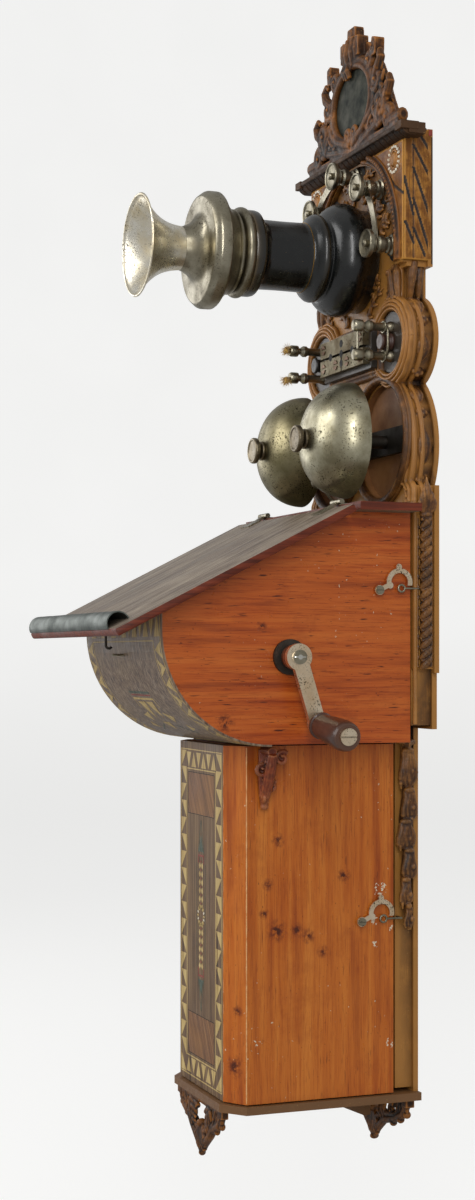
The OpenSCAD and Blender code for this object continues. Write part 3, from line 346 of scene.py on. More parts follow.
LOOKS = {
    "board": carved_material("board_gilt", (48, 27, 11), (114, 72, 29), (176, 122, 56), 0.38),
    "carving": carved_material("carved_gilt", (50, 27, 10), (112, 68, 27), (178, 122, 58)),
    "crest": carved_material("carved_walnut", (24, 13, 6), (90, 52, 21), (176, 112, 48), 0.46, 0.25),
    "cornice": carved_material("cornice_walnut", (24, 15, 9), (58, 36, 20), (98, 68, 42), 0.55, 0.2, 0.5),
    "gable": carved_material("gable_gilt", (96, 54, 17), (160, 106, 40), (194, 138, 60), 0.42, 0.25),
    # Painted shade for the gable's grooves and for the shadow line behind the gable.
    "groove": plain_material("groove_painted_shade", (40, 24, 12), (22, 12, 6), 0.6),
    "nut": metal_material("dull_nickel", (150, 139, 118), (98, 87, 68), 0.30, 0.9, 0.9, 0.56),
    "plate": metal_material("satin_plate", (132, 124, 102), (98, 82, 56), 0.5, 1.0, 0.5, 0.56),
    # The left gong's nickel: more golden, and darker as painted shade against the highlights it catches.
    "bell_left": metal_material("bell_golden_shaded", (150, 141, 110), (102, 95, 66), 0.31, 1.0, 0.8, 0.56),
    "bracket": carved_material("carved_bracket", (84, 30, 12), (146, 64, 26), (176, 110, 66)),
    "shelf": carved_material("shelf_walnut", (34, 22, 13), (76, 50, 29), (120, 84, 50)),
    "pine_upper": pine_material("pine_upper", 1, (196, 104, 40), (172, 76, 22), (118, 38, 8), UPPER_KNOTS),
    "pine_lower": pine_material("pine_lower", 2, (202, 120, 44), (180, 92, 24), (138, 56, 10), SIDE_KNOTS,
                                0.5, SIDE_CHIPS),
    "lid": veneer_material("lid_veneer", 1, (50, 40, 32), (116, 100, 86), (184, 172, 154), 0.42,
                           (-SLOPE, 0, 0)),
    "top": veneer_material("top_veneer", 1, (46, 38, 28), (104, 92, 74), (160, 148, 116), 0.42),
    "curved": veneer_material("rosewood", 2, (54, 40, 32), (116, 94, 76), (164, 146, 122), 0.42),
    "ground": veneer_material("walnut_ground", 2, (52, 36, 24), (106, 80, 56), (138, 114, 84)),
    "figure": veneer_material("figured_walnut", 2, (50, 28, 14), (118, 78, 46), (156, 116, 74), 0.45,
                              (0, 0.5, 0)),
    "mahogany": veneer_material("mahogany_edge", 1, (48, 16, 8), (98, 38, 18), (130, 58, 32)),
    "maple": veneer_material("maple_inlay", 2, (140, 112, 62), (188, 160, 100), (210, 188, 134)),
    "green": plain_material("green_inlay", (78, 90, 74), (52, 62, 50), 0.5),
    "red": plain_material("red_inlay", (150, 60, 46), (104, 36, 28), 0.5),
    "nickel": metal_material("nickel", (168, 161, 141), (112, 104, 84), 0.29, 1.0, 0.9, 0.58),
    # The right gong's nickel, lighter than the left gong's as painted light.
    "bell": metal_material("bell_nickel", (192, 186, 160), (120, 112, 86), 0.29, 1.0, 0.7, 0.57),
    "horn": metal_material("horn_nickel", (250, 245, 230), (216, 200, 162), 0.25, 0.8, 0.8, 0.56),
    "copper": metal_material("copper", (196, 128, 92), (140, 82, 58), 0.32, 0.5),
    "brass": metal_material("brass", (164, 130, 74), (104, 78, 42), 0.42, 0.9),
    "iron": metal_material("iron", (84, 80, 74), (56, 48, 40), 0.46, 0.6),
    "screw": metal_material("browned_steel", (122, 98, 78), (88, 62, 46), 0.42, 0.6),
    "black": lacquer_material("black_lacquer", (8, 10, 10), (120, 98, 60), 0.16, 0.6),
    "knob": lacquer_material("knob_polish", (66, 38, 26), (116, 76, 50), 0.3, 0.4),
    "ebonite": lacquer_material("ebonite", (34, 33, 30), (78, 62, 46), 0.4, 0.5),
    "plaque": plain_material("plaque", (66, 66, 56), (30, 34, 30), 0.62, 0.09, 0.25,
                             Specular_IOR_Level=0.15),
    "zinc": metal_material("zinc_rail", (112, 118, 113), (76, 82, 78), 0.46, 0.5),
    "bright": metal_material("bright_nickel", (224, 222, 214), (180, 176, 160), 0.16, 0.3),
    "arm": metal_material("pitted_nickel", (240, 222, 194), (204, 176, 140), 0.29, 1.0, 0.8, 0.54),
    # Pale pine for the chamfer edges: part wear, part painted highlight.
    "worn": plain_material("worn_pine_highlight", (224, 176, 120), (196, 130, 76), 0.5),
    "ivory": plain_material("white_inlay", (236, 230, 214), (196, 182, 152), 0.35),
    # Dark inlay lines, and painted shade in the terminal seats and the plug holes.
    "dark": plain_material("dark_line_and_painted_shade", (30, 24, 18), (16, 12, 9), 0.7),
    "recess": plain_material("gong_recess", (156, 108, 64), (118, 76, 42), 0.5, 0.04),
    "magnet": lacquer_material("magnet_red", (134, 42, 32), (84, 74, 66), 0.4, 0.7),
    "coil": winding_material("coil_silk", (140, 54, 38), (78, 24, 16), 2),
    "coil_x": winding_material("armature_silk", (140, 54, 38), (78, 24, 16), 0),
    "green_silk": winding_material("induction_silk", (70, 102, 74), (34, 54, 38), 0),
    "carbon": plain_material("carbon", (44, 44, 44), (20, 20, 20), 0.62, 0.5, 0.5),
    "diaphragm": metal_material("diaphragm", (176, 174, 166), (130, 128, 118), 0.4, 0.3),
    "glass": plain_material("jar_glass", (196, 218, 210), (178, 204, 196), 0.12, 0.05, 0.1,
                            Transmission_Weight=0.85, IOR=1.5),
    "cotton": plain_material("frayed_cotton", (214, 178, 92), (160, 118, 48), 0.85, 1.0, 0.4,
                             Sheen_Weight=0.5),
}


# ------------------------------------------------------------------ mesh building
# Steps along a short carved bar, and the axis along which a bar on the side of the board is flattened.
FIFTHS = (0, 0.2, 0.4, 0.6, 0.8, 1)
SIDEWAYS = (1, 0, 0)


def new_piece(name, points, faces, material, body, slot=None, replaced=(), smooth=True, bevel=0.0):
    """One visible piece from points in millimetres, with its material, body and replaced nodes. The slot is
    not used.
    """
    mesh = bpy.data.meshes.new(name)
    mesh.from_pydata([tuple(c * MM for c in p) for p in points], [], faces)
    mesh.validate()
    obj = bpy.data.objects.new(name, mesh)
    bpy.context.scene.collection.objects.link(obj)
    for m in material if isinstance(material, (list, tuple)) else [material]:
        mesh.materials.append(LOOKS[m])
    tidy(obj)
    if bevel:
        mod = obj.modifiers.new("edges", "BEVEL")
        mod.width = bevel * MM
        mod.segments = 2
        mod.limit_method = "ANGLE"
        mod.angle_limit = radians(35)
        mod.harden_normals = True
    if smooth:
        smooth_by_angle(obj, 40)
    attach(obj, body)
    if replaced:
        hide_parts(*replaced)
    return obj


def tidy(obj):
    """Welds doubled points and turns every face outwards."""
    bm = bmesh.new()
    bm.from_mesh(obj.data)
    bmesh.ops.remove_doubles(bm, verts=bm.verts, dist=0.004 * MM)
    bmesh.ops.recalc_face_normals(bm, faces=bm.faces)
    bm.to_mesh(obj.data)
    bm.free()


def smooth_by_angle(obj, degrees):
    """Smooth shading, except across edges sharper than the angle."""
    obj.data.shade_smooth()
    obj.data.set_sharp_from_angle(angle=radians(degrees))


def round_angles(count, more=0):
    """Angles evenly round a circle, with some more past the full turn to close a path."""
    return [2 * pi * k / count for k in range(count + more)]


def arc(cx, cz, r, start, end, steps):
    """Points on an arc, angles in degrees."""
    return [(cx + r * cos(radians(start + (end - start) * i / steps)),
             cz + r * sin(radians(start + (end - start) * i / steps))) for i in range(steps + 1)]


def spiral(r, start, turns, shrink, steps, hand=1):
    """Steps along a spiral that winds in: how far along it, and the two offsets from its eye."""
    for i in range(steps + 1):
        t = i / steps
        a = radians(start) + hand * 2 * pi * turns * t
        reach = r * (1 - shrink * t)
        yield t, reach * cos(a), reach * sin(a)


class Shape:
    """Gathers simple closed forms into one mesh."""

    def __init__(self):
        self.points, self.faces = [], []

    def grid(self, rows, caps=True):
        """Rings of equally many points, each joined to the next."""
        base, n = len(self.points), len(rows[0])
        for row in rows:
            self.points.extend(row)
        for i in range(len(rows) - 1):
            for j in range(n):
                a, b = base + i * n + j, base + i * n + (j + 1) % n
                self.faces.append((a, b, b + n, a + n))
        if caps:
            self.faces.append(tuple(base + j for j in range(n))[::-1])
            self.faces.append(tuple(base + (len(rows) - 1) * n + j for j in range(n)))

    def tube(self, path, radii, flat=1.0, sides=10, flat_axis=(0, 1, 0)):
        """A round or flattened bar along a path; radii is one number or one for each point."""
        path = [Vector(p) for p in path]
        n = len(path)
        size = radii if hasattr(radii, "__len__") else [radii] * n
        squash = Vector(flat_axis)
        rows = []
        for i, p in enumerate(path):
            ahead = (path[min(i + 1, n - 1)] - path[max(i - 1, 0)]).normalized()
            depth = squash - ahead * squash.dot(ahead)
            depth = depth.normalized() if depth.length > 1e-4 else ahead.orthogonal().normalized()
            across = ahead.cross(depth)
            r = max(size[i], 0.05)
            rows.append([tuple(p + across * r * cos(t) + depth * r * flat * sin(t))
                         for t in round_angles(sides)])
        self.grid(rows)

    def ball(self, centre, radii, rings=8, sides=12):
        """A ball, or an ellipsoid where three radii are given."""
        radii = radii if hasattr(radii, "__len__") else (radii,) * 3
        rows = []
        for i in range(rings + 1):
            a = pi * (0.02 + 0.96 * i / rings)
            rows.append([(centre[0] + radii[0] * sin(a) * cos(t),
                          centre[1] + radii[1] * sin(a) * sin(t),
                          centre[2] + radii[2] * cos(a))
                         for t in round_angles(sides)])
        self.grid(rows)

    def plate(self, outline, back, front):
        """A flat plate drawn in X and Z between two distances from the wall."""
        base, n = len(self.points), len(outline)
        for y in (-back, -front):
            self.points.extend((x, y, z) for x, z in outline)
        self.faces.append(tuple(range(base, base + n)))
        self.faces.append(tuple(range(base + n, base + 2 * n))[::-1])
        for j in range(n):
            k = (j + 1) % n
            self.faces.append((base + j, base + n + j, base + n + k, base + k))

    def block(self, low, high):
        """A box between two corners."""
        (x0, y0, z0), (x1, y1, z1) = low, high
        self.plate([(x0, z0), (x1, z0), (x1, z1), (x0, z1)], -y1, -y0)

    def volute(self, cx, cz, r, start, turns, depth, thick, hand=1):
        """A carved scroll: a bar that winds in to a round eye."""
        path, size = [], []
        for t, x, z in spiral(r, start, turns, 0.78, int(16 * turns), hand):
            path.append((cx + x, -depth - 1.2 * t, cz + z))
            size.append(thick * (1 - 0.45 * t))
        self.tube(path, size, 0.8)
        self.ball((cx, -depth - 1.0, cz), (r * 0.26, thick * 0.9, r * 0.26))

    def leaf(self, base, tip, width, depth, lobes=3, curl=0.0, lift=1.5):
        """An acanthus leaf: a raised rib with rounded lobes that fan to both sides."""
        b, t = Vector((base[0], 0, base[1])), Vector((tip[0], 0, tip[1]))
        along = t - b
        side = Vector((-along.z, 0, along.x)).normalized()
        out = Vector((0, -1, 0))
        bend = [b + along * s + side * curl * sin(pi * s) for s in (i / 8 for i in range(9))]
        rib = [p + out * (depth + lift * sin(pi * i / 8)) for i, p in enumerate(bend)]
        self.tube(rib, [width * 0.17 * (1.15 - 0.85 * i / 8) for i in range(9)], 0.8)
        for k in range(lobes):
            s = (k + 0.35) / lobes
            root = bend[int(s * 8)]
            reach = width * 0.5 * sin(pi * (0.25 + 0.65 * s))
            for hand in (-1, 1):
                path, size = [], []
                for i in range(6):
                    u = i / 5
                    p = root + side * hand * reach * u + along.normalized() * reach * 0.95 * u * u
                    path.append(p + out * (depth + lift * 0.7 * sin(pi * (0.2 + 0.6 * u))))
                    size.append(width * 0.15 * (1.1 - 0.55 * u * u))
                self.tube(path, size, 0.72)

    def mirror(self):
        """Adds the mirror image of everything so far."""
        base, n = len(self.points), len(self.faces)
        self.points.extend([(-x, y, z) for x, y, z in self.points])
        self.faces.extend([tuple(i + base for i in face)[::-1] for face in self.faces[:n]])

    def carve(self, name, voxel, material, body, slot, replaced=(), soften=2):
        """Fuses everything into one carved solid."""
        obj = new_piece(name, self.points, self.faces, material, body, slot, replaced, smooth=False)
        mod = obj.modifiers.new("fuse", "REMESH")
        mod.mode = "VOXEL"
        mod.voxel_size = voxel * MM
        mod = obj.modifiers.new("soften", "SMOOTH")
        mod.factor, mod.iterations = 0.5, soften
        apply_modifiers(obj)
        obj.data.shade_smooth()
        return obj

    def piece(self, name, material, body, slot, replaced=(), **more):
        return new_piece(name, self.points, self.faces, material, body, slot, replaced, **more)


def apply_modifiers(obj):
    """Replaces the mesh with the one that its modifiers make."""
    bpy.context.view_layer.update()
    evaluated = obj.evaluated_get(bpy.context.evaluated_depsgraph_get())
    mesh = bpy.data.meshes.new_from_object(evaluated)
    materials = list(obj.data.materials)
    obj.modifiers.clear()
    obj.data = mesh
    mesh.materials.clear()
    for m in materials:
        mesh.materials.append(m)


def lathe_rows(outline, centre, axis=(0, -1, 0)):
    """Rings of a turned form. The outline holds radius and distance along the axis from the centre."""
    axis = Vector(axis).normalized()
    up = Vector((0, 0, 1)) if abs(axis.z) < 0.9 else Vector((0, 1, 0))
    u = up.cross(axis).normalized()
    v = axis.cross(u)
    rows = []
    for r, d in outline:
        rows.append([tuple(Vector(centre) + axis * d + u * max(r, 0.02) * cos(t) + v * max(r, 0.02) * sin(t))
                     for t in round_angles(96)])
    return rows


def turned(name, outlines, material, body, slot, replaced=(), angle=32):
    """One piece made of turned forms: each is (outline, centre) or (outline, centre, axis)."""
    shape = Shape()
    for outline, centre, *axis in outlines:
        closed = list(outline) + [outline[0]]
        shape.grid(lathe_rows(closed, centre, *axis), caps=False)
    obj = shape.piece(name, material, body, slot, replaced, smooth=False)
    smooth_by_angle(obj, angle)
    return obj


def rounded(outline, r=0.6):
    """Rounds the corners of a closed outline by r at most."""
    out = []
    n, steps = len(outline), 3
    for i in range(n):
        a, b, c = Vector(outline[i - 1]), Vector(outline[i]), Vector(outline[(i + 1) % n])
        before, after = a - b, c - b
        if before.length < 1e-6 or after.length < 1e-6:
            continue
        cut = min(r, before.length * 0.4, after.length * 0.4)
        p, q = b + before.normalized() * cut, b + after.normalized() * cut
        for k in range(steps + 1):
            t = k / steps
            out.append(tuple(p * (1 - t) ** 2 + b * 2 * t * (1 - t) + q * t * t))
    return out


def paint(node, material):
    """Gives a CAD node that is shown as it is its material."""
    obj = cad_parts[node]
    obj.data.materials.clear()
    obj.data.materials.append(LOOKS[material])


def paint_edges(node, material):
    """Gives the upright faces of a CAD board a second material."""
    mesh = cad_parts[node].data
    mesh.materials.append(LOOKS[material])
    for face in mesh.polygons:
        if abs(face.normal.z) < 0.3:
            face.material_index = 1


# ------------------------------------------------------------------ backboard and gable
def board_edge(z):
    """Half width of the front of the board at a height."""
    width = BOARD_HALF if z <= BOARD_SHOULDER else NECK_HALF
    for x, middle, r in ((GONG_LOBE_X, GONG_LOBE_Z, GONG_LOBE), (EAR_X, EAR_Z, EAR_LOBE)):
        if abs(z - middle) < r:
            width = max(width, x + sqrt(r ** 2 - (z - middle) ** 2))
    return width


def smoothed(values):
    """Evens out a row of values and keeps both ends."""
    for _ in range(4):
        values = [values[0]] + [(values[i - 1] + 2 * values[i] + values[i + 1]) / 4
                                for i in range(1, len(values) - 1)] + [values[-1]]
    return values


def board_ridges():
    """Raised beads that follow the lobed edge of the board."""
    lobes_from, step = 116, 1.5
    zs = [lobes_from + i * step for i in range(120)]
    shape = Shape()
    for inset, y, r in ((0.6, 18.6, 2.4), (6.5, 20.2, 1.7), (11.5, 20.4, 1.5), (-1.4, 13, 1.9)):
        widths = smoothed([board_edge(z) - inset for z in zs])
        shape.tube([(w, -y, z) for w, z in zip(widths, zs)], r)
    edge_x, low, high = 96.7, -50, 124
    shape.tube([(edge_x, -18.4, low + (high - low) * i / 20) for i in range(21)], 1.7)
    shape.mirror()
    shape.piece("board_beads", "carving", "root", "carved_wood")


def board_sprigs():
    """Small leaves carved on the board's face and edges round the lobes."""
    shape = Shape()
    middle = -11
    for z in (134, 181, 216, 250):
        x = board_edge(z) - 0.4
        shape.ball((x, middle, z), (2.6, 2.6, 2.8))
        for k in range(6):
            a = pi * k / 3 + 0.4
            shape.ball((x - 0.3, middle + 3.5 * cos(a), z + 3.7 * sin(a)), (2.0, 2.2, 2.3), 7, 9)
    for low, high in ((144, 174), (190, 206), (222, 243), (257, 276)):
        for k, y in enumerate((-14.6, middle, -7.4)):
            path, size = [], []
            for i in range(8):
                t = i / 7
                z = low + (high - low) * t
                swell = sin(pi * min(1, t * 1.15))
                path.append((board_edge(z) - 0.6 + 1.2 * swell,
                             middle + (y - middle) * (0.3 + 0.7 * swell), z))
                size.append(1.0 + (2.2 if k == 1 else 1.4) * swell)
            shape.tube(path, size, 0.9, flat_axis=SIDEWAYS)
    for low, high, count in ((205, 270, 15), (120, 200, 17)):
        for k in range(count):
            z = low + (high - low) * k / (count - 1)
            swing = random.uniform(-0.3, 0.3)
            shape.ball((board_edge(z) - 8.9 + swing, -21.6, z), (1.5, 1.3, random.uniform(1.3, 1.9)), 6, 8)
    for x, y, top, drift in ((84, -13, 298, -7), (80, -6, 298, -4), (70, -20.6, 296, 4),
                             (60, -20.8, 294, 8)):
        path = [(x + drift * t + 2.4 * sin(pi * t), y - 1.6 * sin(pi * t), top - 30 * t)
                for t in FIFTHS]
        shape.tube(path, [3.4, 4.0, 3.8, 3.2, 2.4, 1.4], 0.9)
        shape.ball((x - 1, y - 1, top - 1.5), (4.2, 3.4, 3.0))
    for x, z, tx, tz in ((20, 266, 46, 284), (52, 268, 72, 282), (24, 284, 40, 291)):
        shape.leaf((x, z), (tx, tz), 12, 20.5, 3, 2)
    shape.volute(60, 282, 7, 200, 1.3, 21, 1.8)
    shape.mirror()
    shape.carve("board_leaves", 0.7, "carving", "root", "carved_wood")


def rope_moulding():
    """The carved edge of the board: twisted lobes with dark gaps, and a long leaf with a rosette above."""
    shape = Shape()
    x, y, z0, z1, count = 97.2, -10.5, -8, 104, 15
    pitch = (z1 - z0) / count
    shape.tube([(x - 1.4, y, z0), (x - 1.4, y, z1)], 4.4, 0.7, flat_axis=SIDEWAYS)
    for k in range(count):
        z = z0 + pitch * (k + 0.5)
        wide = random.uniform(0.88, 1.1)
        lobe = []
        for i in range(7):
            t = i / 6
            lobe.append((x + 0.6 + 2.9 * sin(pi * (0.12 + 0.76 * t)), y - 4.6 + 9.0 * t,
                         z - pitch * 0.62 + pitch * 1.25 * t))
        shape.tube(lobe, [1.3 * wide, 2.3 * wide, 2.8 * wide, 2.9, 2.7 * wide, 2.2 * wide, 1.2], 0.9,
                   flat_axis=SIDEWAYS)
        shape.ball((x + 2.2, y - 3.4, z + pitch * 0.28), (1.7, 1.3, 1.5), 6, 8)
    for side_y, thick in ((-16.6, 1.3), (-4.6, 1.1)):
        shape.tube([(x - 0.3, side_y, z0 + (z1 - z0) * i / 12) for i in range(13)], thick)
    shape.mirror()
    # The left side keeps lower and closer to the board, clear of the top board when the upper box is open.
    for side, reach, root_x, rosette_z in ((1, 27, 98.6, 106), (-1, 13, 94.2, 102)):
        shape.ball((side * 99, y, rosette_z), (3.6, 5.4, 3.4))
        shape.ball((side * 101, y, rosette_z), (2.2, 2.4, 2.2))
        for k in range(7):
            a = (k - 3) * 0.42
            length = reach - (4.5 if side > 0 else 2.2) * abs(k - 3)
            leaf = []
            for t in FIFTHS:
                leaf.append((side * (root_x + 3.0 * sin(pi * (0.15 + 0.7 * t))),
                             y + 6.2 * sin(a) * sin(2.2 * t + 0.3), 107 + length * t))
            shape.tube(leaf, [1.9, 2.2, 2.1, 1.8, 1.4, 0.6], 0.9, flat_axis=SIDEWAYS)
    shape.carve("rope_mouldings", 0.55, "carving", "root", "carved_wood", ("side_mouldings",), 1)


def drop_carving():
    """The drop of carved leaves beside the lower board, knobby and uneven as it hangs."""
    shape = Shape()
    x = 66.8
    spine = [(-62, -10), (-84, -11.5), (-104, -9.6), (-124, -12.6), (-146, -9.4), (-168, -12), (-190, -10),
             (-208, -8)]
    shape.tube([(x - 2.5, y, z) for z, y in spine], [4.6, 4.2, 4.4, 4.0, 4.0, 3.4, 2.6, 1.0], 0.8,
               flat_axis=SIDEWAYS)
    shape.tube([(x - 1, -4.2, -64), (x + 1.5, -10.5, -66), (x - 1, -16.8, -64)], [2.2, 3.6, 2.2])
    tufts = ((-72, -10.5, 8.4, 26, 5), (-102, -9.5, 7.4, 22, 4), (-126, -12.4, 8.2, 20, 5),
             (-148, -9.4, 7.0, 20, 4), (-170, -12, 6.2, 18, 4), (-190, -10, 4.4, 16, 3))
    for z, y, r, length, count in tufts:
        for k in range(count):
            a = (k - (count - 1) / 2) / count
            size = r * 0.30 * random.uniform(0.85, 1.15)
            path = [(x + 2.2 * cos(a * 2.2) * sin(pi * (0.2 + 0.7 * t)),
                     y + r * 1.5 * a * sin(pi * (0.25 + 0.5 * t)) + 1.2 * sin(6 * t + k),
                     z - length * t * random.uniform(0.96, 1.04)) for t in FIFTHS]
            shape.tube(path, [size * f for f in (0.8, 1.05, 1.1, 1.0, 0.9, 0.4)], 0.95, flat_axis=SIDEWAYS)
        shape.ball((x + 1.4, y, z + 1), (3.0, r * 0.62, 2.6))
        shape.ball((x + 2.8, y + 2.4, z - length * 0.55), (2.0, 2.2, 2.4), 7, 9)
    for z, y, r in ((-92, -15.4, 2.6), (-119, -6.2, 2.8), (-139, -15.8, 2.8), (-160, -5.6, 2.5),
                    (-183, -14.0, 2.2), (-199, -7.4, 1.8)):
        shape.ball((x + 0.8, y, z), (2.4, r, r))
        shape.tube([(x, y, z), (x + 1.6, y - 1.4, z - 4), (x + 0.4, y - 0.4, z - 8.5)],
                   [r * 0.7, r * 0.6, 0.6])
    shape.mirror()
    shape.carve("drop_leaves", 0.6, "carving", "root", "carved_wood", ("drop_carvings",), 1)


def groove_panel(name, corner, right, up, width, height, lines, keep=None, thick=0.7, step=0.7, back=0.05):
    """A facing cut with grooves, painted dark as their shade. Each line is (u0, v0, u1, v1) on the panel."""
    corner, right, up = Vector(corner), Vector(right), Vector(up)
    out = right.cross(up).normalized()
    nu, nv = int(width / step), int(height / step)

    def cut(u, v):
        """How deep the panel is cut at a place: 1 in the middle of a groove and 0 outside it."""
        deep = 0.0
        for u0, v0, u1, v1 in lines:
            a, b, p = Vector((u0, v0)), Vector((u1, v1)), Vector((u, v))
            t = max(0, min(1, (p - a).dot(b - a) / (b - a).length_squared))
            half = 0.75 if u0 == u1 else 1.55
            deep = max(deep, 1 - (p - a - (b - a) * t).length / half)
        return deep

    points, faces, index = [], [], {}
    for i in range(nu + 1):
        for j in range(nv + 1):
            u, v = width * i / nu, height * j / nv
            rim = min(u, v, width - u, height - v)
            h = thick * min(1, rim / 0.8 + 0.05) - thick * 1.1 * cut(u, v)
            index[i, j] = len(points)
            points.append(tuple(corner + right * u + up * v + out * max(h, 0.03)))
    for i in range(nu):
        for j in range(nv):
            u, v = width * (i + 0.5) / nu, height * (j + 0.5) / nv
            if keep is None or keep(u, v):
                faces.append((index[i, j], index[i + 1, j], index[i + 1, j + 1], index[i, j + 1]))
    obj = new_piece(name, points, faces, ["gable", "groove"], "root", "carved_wood")
    # Faces inside a groove take the painted shade.
    for face in obj.data.polygons:
        away = Vector(face.center) / MM - corner
        face.material_index = 1 if cut(away.dot(right), away.dot(up)) > 0.3 else 0
    mod = obj.modifiers.new("thickness", "SOLIDIFY")
    mod.thickness = back * MM
    mod.offset = -1
    return obj


def gable():
    """The grooved facings of the gable, the mouldings round its arch, and the leaves inside it."""
    deep = GABLE_FRONT - 0.4
    side_lines = [(7.6, 98, 7.6, 2), (11, 97, 23, 80), (7.6, 86, 23, 60), (7.6, 69, 22.6, 30),
                  (7.6, 46, 21.5, 6), (7.6, 24, 17, 4), (0, 62, 7.6, 34), (1, 28, 7.6, 13)]
    front_lines = [(40, 84, 58, 74), (58, 74, 74, 58), (74, 58, 88, 50)]
    for side, name in ((1, "right"), (-1, "left")):
        lines = side_lines if side > 0 else [(deep - a, b, deep - c, d) for a, b, c, d in side_lines]
        corner = (88.5 * side, -deep if side > 0 else -0.4, GABLE_FOOT + 0.2)
        groove_panel(f"gable_side_{name}", corner, (0, side, 0), (0, 0, 1), deep - 0.2, 98.6, lines,
                     back=2.4)
        x0 = 0 if side > 0 else -GABLE_HALF
        lines = front_lines if side > 0 else [(GABLE_HALF - a, b, GABLE_HALF - c, d)
                                              for a, b, c, d in front_lines]

        def outside_arch(u, v, x0=x0):
            x, z = x0 + u, GABLE_FOOT + v
            return hypot(x, max(z - HORN_Z, 0)) > ARCH_R
        groove_panel(f"gable_front_{name}", (x0, -GABLE_FRONT, GABLE_FOOT), (1, 0, 0), (0, 0, 1),
                     GABLE_HALF, 90, lines, outside_arch, 0.6, 0.9, 0.4)
    fleck = Shape()
    fleck.block((88.3, -3.4, 391), (89.5, -0.6, 395.4))
    fleck.piece("red_chip", "red", "root", "carved_wood")
    shadow = Shape()
    for side in (-1, 1):
        shadow.tube([(side * 89.0, -0.7, 295), (side * 89.0, -0.7, 390)], 0.6)
    shadow.piece("gable_rear_line", "groove", "root", "carved_wood")
    arch = Shape()
    rope_r = 80.2
    for r, y, thick in ((rope_r, 26, 2.3), (76.4, 25.2, 1.7), (83.2, 25, 1.2)):
        path = [(r, -y, 298), (r, -y, 305)] + [(x, -y, z) for x, z in arc(0, HORN_Z, r, 0, 180, 60)]
        arch.tube([p for p in path if p[0] >= 0 and p[2] < GABLE_TOP], thick, 0.9)
    for k in range(26):
        a = radians(3 + k * 2.62)
        x, z = rope_r * cos(a), HORN_Z + rope_r * sin(a)
        if z < 386:
            arch.ball((x, -27.2, z), (1.6, 1.3, 1.6), 5, 8)
    arch.mirror()
    arch.carve("arch_moulding", 0.6, "crest", "root", "crest_wood", ("gable_arch",), 1)

    leaves = Shape()
    root_r = 46
    for a, span in ((20, 15), (38, 12), (58, 14), (76, 13)):
        c, s = cos(radians(a)), sin(radians(a))
        tip_r = root_r + span
        leaves.leaf((root_r * c, HORN_Z + root_r * s), (tip_r * c, HORN_Z + tip_r * s), 13, 20.6, 3, 3)
    leaves.leaf((4, 366), (32, 377), 11, 20.6, 4, 3)
    leaves.volute(14, 372, 5, 180, 1.2, 21, 1.5)
    leaves.volute(56, 352, 6, 60, 1.3, 21, 1.6)
    leaves.mirror()
    leaves.ball((0, -22, 368), (4, 3, 5))
    leaves.carve("arch_leaves", 0.6, "carving", "root", "carved_wood")


def cornice():
    """A heavy slab with a ribbed cove under it and square end blocks."""
    shape = Shape()
    half, steps, pitch = 101, 404, 8.5

    def profile(t):
        rib = 1.3 * max(0, cos(2 * pi * t / pitch)) ** 14
        return [(-19.5, GABLE_TOP), (-25.2, GABLE_TOP), (-27.0 + rib, 388.0), (-29.4 + rib, 389.6),
                (-30.6 + rib, 391.4), (-31.2 + rib * 0.8, 392.0), (-32.4, 392.6), (-32.9, 394.0),
                (-32.6, 395.8), (-31, 396.9), (-19.5, 396.9)]
    rows = []
    for i in range(steps + 1):
        x = -half + 2 * half * i / steps
        rows.append([(x, y, z) for y, z in profile(x)])
    shape.grid(rows)
    for side, upper_x, lower_x in ((-1, -103, -102.6), (1, 92, 88.2)):
        shape.block((upper_x, -33.0, 391), (upper_x + 11, -18, 397.0))
        shape.block((lower_x, -26, 388.2), (lower_x + 14.4, -12.4, 396.6))
        shape.tube([(side * 90, -12.6, 391.5), (side * 102.2, -12.6, 391.5)], 1.4, flat_axis=(0, 0, 1))
    shape.piece("cornice", "cornice", "root", "crest_wood", ("gable_cornice",), bevel=0.6)


